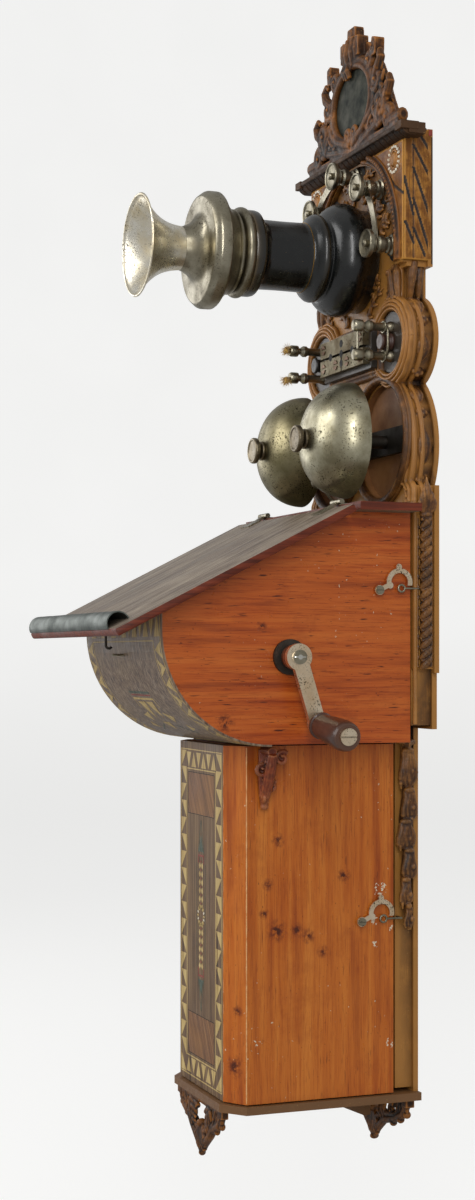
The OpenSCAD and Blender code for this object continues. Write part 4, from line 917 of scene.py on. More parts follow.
def crest():
    """An oval frame over a solid ground, scrolls that step down to the corners, and a fluted crown."""
    half = Shape()
    y, back = 23.5, 19.6
    half.plate([(0, 402), (74, 402), (74, 411), (66, 424), (57, 441), (47, 456), (35, 469), (22, 480),
                (0, 482)],
               back, y - 0.5)
    for r_x, r_z, out, thick in ((36.0, 28.8, 3.0, 2.9), (40.2, 32.6, 0.6, 4.3)):
        rim = [(r_x * cos(radians(a)), -y - out, PLAQUE_Z + r_z * sin(radians(a)))
               for a in range(-90, 91, 6)]
        half.tube(rim, thick, 0.9)
    half.tube([(2, -y - 3, 404.5), (12, -y - 3.4, 408), (24, -y - 3.6, 412), (36, -y - 3, 420),
               (47, -y - 2, 431)],
              [3.4, 4.0, 4.2, 3.8, 2.6], 0.8)
    half.tube([(8, -y - 2, 401), (30, -y - 2, 405), (52, -y - 2, 410), (68, -y - 1, 417)],
              [3.0, 4.2, 4.4, 3.0], 0.8)
    half.volute(7, 413, 5.6, 250, 1.2, y + 3.4, 2.5, -1)
    half.volute(54, 424, 11.5, 200, 1.4, y + 2.6, 4.2)
    half.volute(66, 409, 8.6, 120, 1.4, y + 2.0, 3.8, -1)
    half.volute(45, 444, 8.4, 220, 1.3, y + 2.2, 3.7)
    half.volute(32, 463, 7.2, 240, 1.2, y + 2.2, 3.4)
    half.leaf((50, 408), (66, 432), 19, y + 2, 4, 3, 3)
    half.leaf((30, 410), (46, 424), 14, y + 2, 3, -2, 3)
    half.leaf((56, 432), (52, 456), 14, y + 1, 3, 3, 2)
    half.leaf((14, 403), (30, 408), 12, y + 2, 3, 1, 2)
    for x, z in ((67, 428), (50, 452)):
        half.tube([(x - 8, -y - 2, z - 6), (x, -y - 3.4, z), (x + 4, -y - 3, z + 7),
                   (x + 1, -y - 2.4, z + 12), (x - 2.6, -y - 2, z + 9)], [3.6, 4.2, 3.7, 3.0, 2.2], 0.9)
    half.plate(rounded([(37, 463), (46, 463), (47, 476), (40, 478)], 1.5), 19.8, 28.4)
    half.volute(41.5, 471, 4.6, 200, 1.1, y + 3.6, 2.1)
    half.tube([(66, -y - 0.6, 405.6), (88, -y - 0.6, 405.6)], 5.6, 0.82)
    half.tube([(86.6, -y - 0.6, 405.6), (89.4, -y - 0.6, 405.6)], 4.4, 0.82)
    half.plate(rounded([(9.6, 472), (16.6, 471), (17.2, 486.6), (10.4, 487.6)], 1.2), 19.8, 29.4)
    half.tube([(10.5, -y - 3, 470), (11.4, -y - 4.4, 478), (11, -y - 3.4, 486)], [3.2, 3.6, 2.8], 0.9)
    half.tube([(0, -y - 2.6, 468), (12, -y - 2.2, 468.6), (20, -y - 1.4, 466.4)], [3.8, 3.6, 3.0], 0.9)
    half.mirror()
    half.plate(rounded([(-8, 485), (8, 485), (7.6, 496.4), (-7.6, 496.4)], 1.4), back, 27.6)
    half.plate(rounded([(-3, 489), (3, 489), (2.4, 494.5), (-2.4, 494.5)], 1.0), 27.2, 28.6)
    for x in (-4.6, 4.6):
        half.tube([(x, -y - 3.6, 466), (x, -y - 5.2, 476), (x, -y - 3.6, 488)], [3.2, 3.9, 3.2], 0.9)
    for k in range(4):
        a = radians(-140 + k * 24)
        half.tube([(-4, -y - 3.6, 468), (-4 + 7 * cos(a), -y - 6.2, 468 + 6 * sin(a)),
                   (-4 + 10 * cos(a), -y - 5, 468 + 12 * sin(a))], [3.0, 2.8, 1.8])
    half.plate([(-86, 397.2), (86, 397.2), (86, 402.6), (-86, 402.6)], 19.4, 27.4)
    half.carve("crest", 0.7, "crest", "root", "crest_wood", ("crest_carving",), 1)

    plaque = Shape()
    rings = [(1.0, 21.5), (1.0, 24.6), (0.97, 25.0), (0.7, 25.9), (0.4, 26.4), (0.02, 26.6)]
    rows = [[(34.5 * s * cos(a), -d, PLAQUE_Z + 27.6 * s * sin(a)) for a in round_angles(72)]
            for s, d in rings]
    plaque.grid(rows)
    plaque.piece("plaque_plate", "plaque", "root", "plaque", ("oval_plaque",))


def ring_inlay():
    """Two small rings of pale dashes, each round a carved oval boss."""
    dashes = Shape()
    boss = Shape()
    ring_x, ring_z, count = 74, 375, 17
    for side in (-1, 1):
        for a in round_angles(count):
            c, s = cos(a), sin(a)
            x, z = side * ring_x + 9.0 * c, ring_z + 9.6 * s
            dashes.tube([(x - 0.9 * c, -25.1, z - 0.9 * s), (x + 0.9 * c, -25.1, z + 0.9 * s)], 1.05, 0.7, 8)
        boss.ball((side * ring_x, -24.8, ring_z), (4.4, 2.0, 5.4))
        boss.tube([(side * ring_x + 5.6 * cos(t), -24.8, ring_z + 6.6 * sin(t))
                   for t in round_angles(24, 1)], 0.8)
    dashes.piece("white_dashes", "ivory", "root", "inlay_white", ("ring_inlays",))
    boss.piece("ring_bosses", "carving", "root", "carved_wood")


board_ridges()
board_sprigs()
rope_moulding()
drop_carving()
gable()
cornice()
crest()
ring_inlay()
paint("backboard", "board")


# ------------------------------------------------------------------ gongs
def bowl(r, depth):
    """The outline of one face of a gong, from near its pole to its rim."""
    steps = 40
    angles = [radians(3 + 87 * i / steps) for i in range(steps + 1)]
    return [(r * sin(t) ** 0.82, GONG_RIM + depth * cos(t)) for t in angles]


def gongs():
    """Two thin-walled gongs, their flanged nuts, and the rings and floors of the recesses behind them."""
    depth = GONG_POLE - GONG_RIM
    outline = [(2.7, GONG_POLE)] + bowl(GONG_R, depth) + [(GONG_R - 0.5, GONG_RIM - 0.25)]
    outline += bowl(GONG_R - 1.8, depth - 1.8)[::-1] + [(2.7, GONG_POLE - 1.8)]
    for side, name in ((-1, "left"), (1, "right")):
        # Lighter and darker copies of the gong nickel: painted light on the right gong, painted shade and a
        # more golden tone on the left.
        look = "bell" if side > 0 else "bell_left"
        turned(f"{name}_gong", [(outline, (side * GONG_X, 0, GONG_Z))], look, "root", "bell_nickel",
               (f"gong_{name}",))
    p = GONG_POLE
    nut = rounded([(2.6, p), (7.6, p), (7.6, p + 1.6), (5.3, p + 3.2), (5.3, p + 4.2), (9.6, p + 4.6),
                   (10.3, p + 5.4), (10.3, p + 7.9), (9.6, p + 8.9), (8.3, p + 8.9), (7.7, p + 8.2),
                   (0.1, p + 8.3), (0.1, p + 7.2), (2.6, p + 7.0)], 0.4)
    turned("gong_thumb_nuts", [(nut, (s * GONG_X, 0, GONG_Z)) for s in (-1, 1)], "nut", "root", "nickel",
           ("gong_nuts",))
    ring = [(44.3, FACE), (51, FACE), (51.3, 21.4), (50.9, 22.3), (50.4, 22.6)]
    ring += arc(47.3, 22.8, 3.2, -5, 165, 12)
    ring += [(44.3, 22.6)]
    turned("gong_recess_rings", [(rounded(ring, 0.5), (s * GONG_X, 0, GONG_Z + 1)) for s in (-1, 1)],
           "carving", "root", "crest_wood", ("gong_rings",))
    floor = [(0.1, 14.1), (43.6, 14.1), (43.9, 14.4), (43.9, 19.8), (43.6, 19.9), (43.5, 14.9), (0.1, 14.6)]
    turned("gong_recess_floors", [(floor, (s * GONG_X, 0, GONG_Z)) for s in (-1, 1)], "recess", "root",
           "carved_wood")


# ------------------------------------------------------------------ transmitter
def transmitter():
    """A black stand with a brass band, a nickel capsule and a horn, all turned about one axis."""
    centre = (0, 0, HORN_Z)
    base = [(5, FACE), (38.5, FACE), (40, 21)]
    base += arc(26, 38, 18, -38, 62, 24)
    base += [(33.2, 54.7), (31.8, 55.2), (31.4, 56), (31.8, 56.9), (32.8, 57.6), (33.8, 59), (34, 60.8),
             (33.6, 62.6), (32, 64.8), (29, 66.8), (27.4, 68.4), (26.8, 69.6), (26.6, 74), (26.4, 90),
             (26.6, 104), (27.2, 107.2), (28.6, 108.8), (30.6, 109.6), (32.4, 111), (32.9, 113),
             (32.9, 117), (32.2, 118.8), (5, 118.9)]
    turned("transmitter_stand", [(base, centre)], "black", "root", "black_wood", ("transmitter_base",),
           angle=50)
    collar = rounded([(26.6, 69.7), (27.1, 69.7), (27.1, 70.4), (26.6, 70.4)], 0.15)
    turned("transmitter_band", [(collar, centre)], "brass", "root", "brass")
    case = [(6, 119.1), (30.4, 119.1)]
    case += arc(30.6, 123, 4, -78, 78, 16)
    case += [(30.2, 127.6), (30.4, 128.6), (32.2, 129.2), (32.4, 130.6), (31.2, 131.4), (33.5, 134.4),
             (37, 138), (40.6, 140.8), (43.6, 142.6), (44.4, 143.6), (44.5, 145), (44.5, 150.4),
             (44, 151.8), (41.2, 155.4), (39.6, 156), (30, 155.7), (26, 156.6), (22.6, 159.2), (19.4, 163),
             (17.5, 167), (16.4, 170), (14.5, 170), (15, 163), (19, 155), (38, 154.4), (38, 149.6),
             (34, 149.6), (30, 133), (6, 131)]
    turned("capsule", [(case, centre)], "nickel", "root", "nickel", ("capsule_case",), angle=38)
    rim = node_box("mouthpiece")[1][0]
    steps, wall, start, length = 40, 1.3, 170.1, 34
    flare = [(16.5 + (rim - 17.6) * (0.16 * t + 0.84 * t ** 2.6), start + length * t)
             for t in (i / steps for i in range(steps + 1))]
    roll = arc(rim - 1.1, start + length - 0.5, 1.0, 0, 180, 10)
    inner = [(r - wall, d) for r, d in flare[:-2]][::-1]
    turned("horn", [(flare[:-1] + roll + inner, centre)], "horn", "root", "nickel", ("mouthpiece",),
           angle=60)


# ------------------------------------------------------------------ terminals, line posts, arrester
def terminals():
    """Five terminals in an arc over the transmitter, each with a dished thumb nut."""
    spots = [(x, 0, z) for x, z in arc(0, HORN_Z, RING_R, 0, 180, 4)]
    post = [(0.1, FACE), (8, FACE), (8.1, 21.4), (7.4, 22.2), (8, 23), (8, 24.4), (6.4, 25.4), (6.2, 27.4),
            (5, 28.4), (5, 30), (6.4, 31), (6.4, 34.6), (5.6, 36), (2.5, 36), (2.5, 46), (1.6, 47),
            (0.1, 47)]
    turned("terminal_columns", [(post, p) for p in spots], "nickel", "root", "nickel", ("terminal_posts",),
           angle=28)
    nut = [(2.55, 37.2), (5.8, 37.2), (6.4, 38.4), (5, 40.4), (5.4, 41), (9.4, 41.2), (10.6, 42),
           (10.7, 44.6), (10.2, 45.5), (9.4, 45.2), (8.6, 44.2), (6, 43.4), (3.4, 43.4), (2.55, 43.4)]
    turned("terminal_thumb_nuts", [(nut, p) for p in spots], "nickel", "root", "nickel",
           ("terminal_nuts",), angle=28)
    button = [(0.1, 43.5), (2.6, 43.5), (2.9, 45.8), (2.2, 47), (0.1, 47.4)]
    turned("terminal_buttons", [(rounded(button, 0.4), p) for p in spots], "nickel", "root", "nickel")
    # Dark seats round the terminal bases, as painted shade.
    seat = [(0.1, FACE), (11, FACE), (11.6, 20.5), (10.6, 21), (0.1, 21)]
    turned("terminal_seats", [(seat, p) for p in spots], "dark", "root", "carved_wood")


def line_posts():
    """Two line posts in turned rings on each lobe, linked on the right and with frayed wire on the left."""
    spots = [(s * EAR_X, 0, z) for s in (-1, 1) for z in (LINE_LOW, LINE_HIGH)]
    post = [(0.1, 22.6), (4.6, 22.6), (4.6, 23.8), (3.9, 25.4), (3.2, 27.6), (3.1, 37.4), (3.6, 38.6),
            (4.4, 39.6), (4.5, 42), (3.6, 43.4), (2.6, 44.6), (2.6, 46), (4.4, 47), (4.6, 48), (4.6, 52.6),
            (3.9, 54), (2.4, 54.6), (0.1, 54.6)]
    turned("line_post_columns", [(post, p) for p in spots], "nickel", "root", "nickel", ("ear_posts",),
           angle=30)
    shape = Shape()
    for s in (-1, 1):
        for inner, outer, y in ((23.6, 26.6, 23.4), (26.4, 29.4, 24.2), (29.2, 32.2, 23.2),
                                (32, 34.8, 21.8)):
            mid, r = (inner + outer) / 2, (outer - inner) / 2 + 0.1
            wave = 0.35 if mid > 31 else 0.0
            path = [(s * EAR_X + (mid + wave * cos(14 * t)) * cos(t), -y,
                     EAR_Z + (mid + wave * cos(14 * t)) * sin(t))
                    for t in round_angles(96, 1)]
            shape.tube(path, r, 1.3, 10)
    shape.piece("line_post_rings", "carving", "root", "crest_wood", ("ear_rings",))
    disc = [(0.1, FACE), (23.4, FACE), (23.4, 21.8), (22.6, 22.5), (0.1, 22.55)]
    knob = [(0.1, 22.6), (6.6, 22.6), (6.8, 24), (5.4, 26), (5.2, 29), (6.2, 30.6), (6.2, 31.8), (5.4, 32.4),
            (0.1, 32.4)]
    turned("line_post_discs", [(disc, (s * EAR_X, 0, EAR_Z)) for s in (-1, 1)], "ebonite", "root", "ebonite")
    for s, name, look in ((-1, "left", "ebonite"), (1, "right", "knob")):
        turned(f"line_post_knob_{name}", [(rounded(knob, 0.4), (s * EAR_X, 0, EAR_Z))], look, "root",
               "ebonite")

    link, y = Shape(), -29
    half_link = [(EAR_X + 1, y, LINE_HIGH + 0.6), (EAR_X + 6, y, LINE_HIGH - 0.6),
                 (EAR_X + 8, y, LINE_HIGH - 4)]
    link.tube(half_link + [(x, y, 2 * EAR_Z - z) for x, y, z in half_link[::-1]], 0.9)
    for z in (LINE_LOW, LINE_HIGH):
        link.tube([(EAR_X + 4.2 * cos(t), y, z + 4.2 * sin(t)) for t in round_angles(20, 1)], 0.9)
    link.piece("line_post_link", "nickel", "root", "nickel")

    tufts = Shape()
    for z, down in ((LINE_LOW, 1), (LINE_HIGH, 0)):
        root = Vector((-EAR_X, -54.9, z))
        for _ in range(240):
            droop = -0.75 * down
            spread = Vector((random.gauss(0, 0.55), random.gauss(-0.5, 0.42), random.gauss(droop, 0.45)))
            reach = random.uniform(1.6, 8.6 if down else 7.2)
            bend = Vector((random.gauss(0, 0.5), 0, random.gauss(0, 0.5)))
            end = root + spread.normalized() * reach
            end.y = max(end.y, -62.5)
            path = [root + (end - root) * t + bend * sin(pi * t) for t in (0, 0.33, 0.66, 1)]
            tufts.tube(path, [0.20, 0.17, 0.13, 0.07], 1.0, 5)
        tufts.ball(root + Vector((0, -1.8, -2.2 * down)), (2.4, 2.0, 2.6), 7, 9)
    tufts.piece("frayed_wire_ends", "cotton", "root", "frayed_cord", ("line_ends",))


def arrester():
    """The lightning arrester: a moulded frame, a block, plates, slotted screws, and dark discs of painted
    shade for the plug holes.
    """
    frame_bar = Shape()
    half, low, high = 49.2, 217.8, 257
    middle = (low + high) / 2
    corners = [(-half, low), (half, low), (half, high), (-half, high), (-half, low)]
    for inset, y, r in ((0, 22.2, 2.4), (2.6, 24.0, 2.0)):
        for a, b in zip(corners, corners[1:]):
            fit = [(x - copysign(inset, x), -y, z - copysign(inset, z - middle)) for x, z in (a, b)]
            frame_bar.tube(fit, r, 1.0, 12)
            frame_bar.ball(fit[0], (r, r, r))
    frame_bar.carve("arrester_moulding", 0.6, "carving", "root", "crest_wood", (), 1)
    block = Shape()
    block.plate(rounded([(-45.4, 221.6), (45.4, 221.6), (45.4, 254.4), (-45.4, 254.4)], 1.2), FACE, 30.9)
    block.piece("arrester_block", "ebonite", "root", "ebonite", ("arrester_base",), bevel=0.5)
    paint("arrester_plates", "plate")
    screws = ((-35, 246.5), (35, 246.5), (-35, 231.5), (-11, 231.5), (11, 231.5), (35, 231.5))
    heads, plugs = Shape(), Shape()
    for x, z in screws:
        for side in (-1, 1):
            cap = arc(x, z, 3.9, side * 12, side * 168, 14)
            heads.plate(cap[::side], 36.02, 36.7)
    heads.piece("arrester_screw_heads", "screw", "root", "screw_steel", ("arrester_screws",), bevel=0.2)
    # Dark discs stand for the shade inside the plug holes.
    for x, z in ((-21, 239), (0, 239), (21, 239), (0, 231.5), (0, 247)):
        plugs.plate(arc(x, z, 3.1, 0, 345, 23), 35.6, 36.08)
    plugs.piece("arrester_plug_holes", "dark", "root", "ebonite")


gongs()
transmitter()
terminals()
line_posts()
arrester()
for node, look in (("gong_bridges", "iron"), ("terminal_links", "nickel"), ("ringer_coils", "coil"),
                   ("ringer_frame", "iron"), ("hammer", "nickel"),
                   ("diaphragm", "diaphragm"), ("battery_jars", "glass"), ("battery_plates", "carbon"),
                   ("board_hardware", "nickel"), ("magneto_frame", "brass"), ("magnets", "magnet"),
                   ("induction_coil", "green_silk"), ("main_gear", "brass"), ("armature", "coil_x"),
                   ("upper_box_hardware", "nickel"), ("lower_box_hardware", "nickel"),
                   ("lid_plates", "nickel"), ("lid_hardware", "nickel"), ("lid_hook", "iron"),
                   ("hook_upper", "arm"), ("hook_lower", "arm"), ("switch_hook", "nickel"),
                   ("crank_bush", "iron"), ("crank_shaft", "nickel"), ("crank_arm", "arm")):
    paint(node, look)


# ------------------------------------------------------------------ magneto box
def curve_point(distance, lift):
    """A point on the curved front, by the distance along it from its top edge."""
    straight = under_lid(BOX_FRONT) - CURVE_Z
    if distance < straight:
        return (-BOX_FRONT - lift, under_lid(BOX_FRONT) - distance)
    a = (distance - straight) / CURVE_R
    return (-CURVE_Y - (CURVE_R + lift) * cos(a), CURVE_Z - (CURVE_R + lift) * sin(a))


# How far inlaid veneers and lines stand proud of their panel.
VENEER_LIFT, LINE_LIFT = 0.12, 0.10


class Inlay:
    """Flat marquetry cut from thin veneers and laid on a panel, 1 layer for each material."""

    def __init__(self, place, splits=1):
        self.place, self.splits, self.layers = place, splits, {}

    def polygon(self, wood, outline, lift=VENEER_LIFT):
        """A veneer with a closed outline in panel coordinates."""
        shape = self.layers.setdefault(wood, Shape())
        base, n = len(shape.points), len(outline)
        for level in (-0.25, lift):
            shape.points.extend(self.place(u, v, level) for u, v in outline)
        shape.faces.append(tuple(range(base, base + n))[::-1])
        shape.faces.append(tuple(range(base + n, base + 2 * n)))
        for j in range(n):
            k = (j + 1) % n
            shape.faces.append((base + j, base + k, base + n + k, base + n + j))

    def line(self, wood, points, width):
        """A line of veneer through the points, in short lengths where the panel is curved."""
        for (u0, v0), (u1, v1) in zip(points, points[1:]):
            a, b = Vector((u0, v0)), Vector((u1, v1))
            steps = max(1, int((b - a).length / 6)) if self.splits > 1 else 1
            side = Vector((-(b - a).y, (b - a).x)).normalized() * width / 2
            for i in range(steps):
                p, q = a + (b - a) * i / steps, a + (b - a) * (i + 1) / steps
                self.polygon(wood, [tuple(p - side), tuple(q - side), tuple(q + side), tuple(p + side)],
                             LINE_LIFT)

    def frame(self, wood, u0, v0, u1, v1, width):
        """A line round a rectangle."""
        self.line(wood, [(u0, v0), (u1, v0), (u1, v1), (u0, v1), (u0, v0)], width)

    def triangle(self, wood, a, b, c):
        """A triangular veneer, in strips where the panel is curved."""
        if self.splits == 1:
            self.polygon(wood, [a, b, c])
            return
        for i in range(self.splits):
            s, t = i / self.splits, (i + 1) / self.splits
            p = [tuple(Vector(a) + (Vector(q) - Vector(a)) * k) for k, q in ((s, b), (t, b), (t, c), (s, c))]
            self.polygon(wood, p if i else [a, p[1], p[2]])

    def row(self, wood, u0, u1, v0, v1, count, along_u=True, first_up=True):
        """Tall triangles that alternate up and down in a band."""
        start, end, low, high = (u0, u1, v0, v1) if along_u else (v0, v1, u0, u1)
        for i in range(count):
            a, b = (start + (end - start) * (k / count) for k in (i, i + 1))
            up = (i % 2 == 0) == first_up
            tip, foot = (high, low) if up else (low, high)
            corners = (((a + b) / 2, tip), (a + 0.4, foot), (b - 0.4, foot))
            self.triangle(wood, *(corner if along_u else corner[::-1] for corner in corners))

    def finish(self, name, body, slot):
        """Makes one piece of each wood."""
        for wood, shape in self.layers.items():
            shape.piece(f"{name}_{wood}", wood, body, slot, smooth=False)


def curved_inlay():
    """Marquetry bent round the curved front: a border of triangles, and a figure in the middle."""
    length = under_lid(BOX_FRONT) - CURVE_Z + CURVE_R * pi / 2

    def place(u, v, lift):
        y, z = curve_point(length - v, lift)
        return (u, y, z)
    work = Inlay(place, 4)
    half = BOX_HALF - 1.2
    top = length - 1.5
    work.row("maple", -half + 1, half - 1, top - 17, top - 1.5, 14, True, False)
    work.row("maple", -half + 1, half - 1, 3, 16, 14, True, True)
    for side in (-1, 1):
        outer, inner = side * (half - 1), side * (half - 15)
        work.row("maple", inner, outer, 18, top - 20, 8, False, side > 0)
    work.frame("maple", -half + 0.5, 1.5, half - 0.5, top, 0.9)
    work.frame("maple", -half + 17, 19, half - 17, top - 20, 0.9)
    middle = (19 + top - 20) / 2
    work.line("green", [(-25, middle + 12), (25, middle + 12)], 1.6)
    work.line("red", [(-23, middle + 9.4), (23, middle + 9.4)], 0.9)
    work.line("maple", [(-24, middle + 6), (24, middle + 6)], 1.8)
    for side in (-1, 1):
        work.line("maple", [(side * 24, middle + 6), (side * 24, middle - 2)], 1.2)
        work.triangle("maple", (side * 9, middle - 14), (side * 2, middle + 3), (side * 17, middle + 3))
        work.triangle("maple", (side * 26, middle - 19), (side * 18, middle - 8), (side * 36, middle - 12))
        work.triangle("maple", (side * 43, middle - 21), (side * 38, middle - 30), (side * 50, middle - 27))
        work.line("green", [(side * 14, middle - 23), (side * 40, middle - 34)], 1.0)
    work.triangle("maple", (0, middle - 30), (-8, middle - 20), (8, middle - 20))
    work.finish("curved_inlay", "upper_box", "veneer")


def front_inlay():
    """Marquetry on the lower front: a border of triangles, two figured panels, diamonds and a star."""
    def place(u, v, lift):
        return (u, -CASE_FRONT - lift, v)
    work = Inlay(place)
    low, high, half = CASE_BOTTOM + 6, CASE_TOP - 7, PANEL_HALF - 2.4
    cell = 12.5
    work.row("maple", -half + cell, half - cell, high - cell, high - 1, 6, True, False)
    work.row("maple", -half + cell, half - cell, low + 1, low + cell, 6, True, True)
    count = 17
    for side in (-1, 1):
        outer, inner = side * (half - 1), side * (half - cell)
        for k in range(count):
            z0, z1 = (low + cell + (high - low - 2 * cell) * t / count for t in (k, k + 1))
            foot, tip = (outer, inner) if k % 2 else (inner, outer)
            work.triangle("maple", (foot, z0 + 0.3), (foot, z1 - 0.3), (tip, z1 - 0.3))
        for edge, step in ((low, cell), (high, -cell)):
            work.triangle("maple", (side * (half - 1), edge), (side * (half - cell), edge),
                          (side * (half - 1), edge + step))
    work.frame("maple", -half, low - 1, half, high + 1, 0.8)
    work.frame("maple", -half + cell + 1.4, low + cell + 1.4, half - cell - 1.4, high - cell - 1.4, 0.9)
    inner = half - cell - 4.5
    for v0, v1 in ((high - cell - 36, high - cell - 4), (low + cell + 4, low + cell + 36)):
        work.polygon("figure", [(-inner, v0), (inner, v0), (inner, v1), (-inner, v1)], 0.06)
        work.frame("dark", -inner, v0, inner, v1, 0.5)
    middle, reach = (low + high) / 2, (high - low) / 2 - cell - 40
    for side in (-1, 1):
        for end in (-1, 1):
            work.line("green", [(0, middle + end * reach), (side * 6.5, middle + end * 48)], 0.8)
            work.line("red", [(side * 6.0, middle + end * 47), (side * 6.0, middle + end * 40)], 1.0)
        work.line("green", [(side * 9.5, middle - 40), (side * 9.5, middle + 40)], 0.6)
    for end in (-1, 1):
        work.triangle("green", (0, middle + end * 62), (-5.4, middle + end * 49), (5.4, middle + end * 49))
        work.line("red", [(-6, middle + end * 46), (6, middle + end * 46)], 1.4)
    for k in range(-6, 7):
        z = middle + k * 6.4
        if k:
            for side in (-1, 1):
                work.polygon("maple", [(side * 0.5, z), (side * 2.8, z - 2.6), (side * 5.0, z),
                                       (side * 2.8, z + 2.6)])
            work.polygon("red", [(-0.9, z + 3.2), (0, z + 2.0), (0.9, z + 3.2), (0, z + 4.4)], 0.16)
    for k in range(16):
        a = radians(22.5 * k)
        c, t = cos(a), sin(a)
        work.polygon("ivory" if k % 2 else "maple", [(6.6 * c - 1.1 * t, middle + 6.6 * t + 1.1 * c),
                                                     (8.6 * c, middle + 8.6 * t),
                                                     (6.6 * c + 1.1 * t, middle + 6.6 * t - 1.1 * c),
                                                     (5.2 * c, middle + 5.2 * t)])
    work.finish("front_inlay", "lower_box", "veneer")


def lid():
    """A board with worn rounded edges, and a hollow rail of soft metal along its front."""
    shape = Shape()
    half, t0, t1 = LID_HALF, 0.3, LID_T

    def at(u, t):
        return (-BREAK_Y - u * cos(SLOPE) - t * sin(SLOPE), TOP_Z - u * sin(SLOPE) + t * cos(SLOPE))
    rows = []
    profile = [(3.3, t0), (3.3, t1 - 0.7), (3.9, t1 - 0.05), (60, t1), (120, t1), (180, t1),
               (LID_LEN - 1.0, t1 - 0.05), (LID_LEN - 0.1, t1 - 1.2), (LID_LEN - 0.1, t0 + 1.0),
               (LID_LEN - 1.0, t0)]
    for x, inset in ((-half, 0.6), (-half + 0.25, 0.2), (-half + 0.9, 0), (half - 0.9, 0),
                     (half - 0.25, 0.2), (half, 0.6)):
        row = []
        for u, t in profile:
            fit = min(max(t, t0 + inset), t1 - inset)
            row.append((x, *at(u, fit)))
        rows.append(row)
    shape.grid(rows)
    obj = shape.piece("lid_panel", ["lid", "mahogany"], "lid", "veneer", ("lid_board",))
    for face in obj.data.polygons:
        up = face.normal.dot(Vector((0, -sin(SLOPE), cos(SLOPE))))
        face.material_index = 0 if up > 0.8 else 1

    rail = Shape()
    r, wall = 9, 0.9
    x0, x1 = -half, half - 18
    path = arc(0, 0, r, 0, 180, 20) + arc(0, 0, r - wall, 180, 0, 20)
    rows = []
    for i in range(61):
        x = x0 + (x1 - x0) * i / 60
        dent = 0.05 * sin(i * 0.9) + 0.06 * sin(i * 0.31)
        rows.append([(x, *at(LID_LEN - r + pu * 0.995, LID_T + 0.02 + max(pt + dent * (pt > 4), 0)))
                     for pu, pt in path])
    rail.grid(rows)
    rail.piece("pen_rail_tube", "zinc", "lid", "rail_zinc", ("pen_rail",))


def curl_bracket():
    """A small carved scroll bracket under the magneto box on each side."""
    shape = Shape()
    x0, x1, y = CASE_HALF, 89, -128
    top = BOX_BOTTOM - 1.2
    shape.tube([(x0 + 1, y, top - 3), (x1 - 3, y, top - 3)], 3.2, 1.2)
    shape.tube([(x0 + 2.6, y, top - 2), (x0 + 3.0, y, top - 20), (x0 + 2.8, y, top - 36),
                (x0 + 2.6, y, top - 44)], [3.8, 4.4, 3.6, 2.2], 1.2)
    shape.volute(x0 + 14.6, top - 10.5, 7.6, 60, 1.4, 129, 2.7)
    shape.volute(x0 + 9.0, top - 24, 6.4, 80, 1.3, 129, 2.5)
    shape.volute(x0 + 5.8, top - 37, 4.2, 90, 1.2, 129, 2.0)
    shape.tube([(x0 + 20, y, top - 5), (x0 + 15, y, top - 17), (x0 + 8, y, top - 31), (x0 + 3, y, top - 43)],
               [2.8, 3.8, 3.4, 1.8], 1.2)
    shape.ball((x0 + 3, y, top - 44), (2.4, 3.4, 2.6))
    for turn_y, turn_z, r, out in ((y + 9, top - 8, 5.6, 15), (y - 5, top - 17, 5.0, 11),
                                   (y + 4.5, top - 29, 4.2, 6.5)):
        path, size = [], []
        for t, across, up in spiral(r, 40, 1.25, 0.75, 19):
            path.append((x0 + out + 1.2 * t, turn_y + across, turn_z + up))
            size.append(1.9 * (1 - 0.4 * t))
        shape.tube(path, size, 0.9, flat_axis=SIDEWAYS)
        shape.ball((x0 + out - 3.4, turn_y, turn_z), (3.8, r * 0.9, r * 0.9))
    shape.mirror()
    shape.carve("scroll_brackets", 0.55, "bracket", "lower_box", "carved_wood", ("corbels",), 1)


# ------------------------------------------------------------------ crank knob and aprons
def knob():
    """The turned knob of the crank, with its axis tipped 8 degrees."""
    angle = radians(8)
    axis = Vector((cos(angle), 0, -sin(angle)))
    low, high = (Vector(c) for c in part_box("crank_knob"))
    middle = (low + high) / 2 / MM
    arm_face = 114.6
    base = Vector((arm_face, middle.y, middle.z + (middle.x - arm_face) * tan(angle)))
    body = [(3.6, 4.1), (8.4, 4.1), (9.5, 4.6), (9.9, 5.8), (9.6, 7.2), (8.8, 7.8), (9.0, 9), (9.3, 14),
            (9.7, 20), (10.3, 28), (10.8, 36), (11.0, 43), (10.8, 48.5), (10.2, 51.4), (9.2, 52.9),
            (3.6, 53)]
    turned("crank_grip", [(body, tuple(base), tuple(axis))], "knob", "crank_knob", "knob_wood",
           ("crank_knob",))


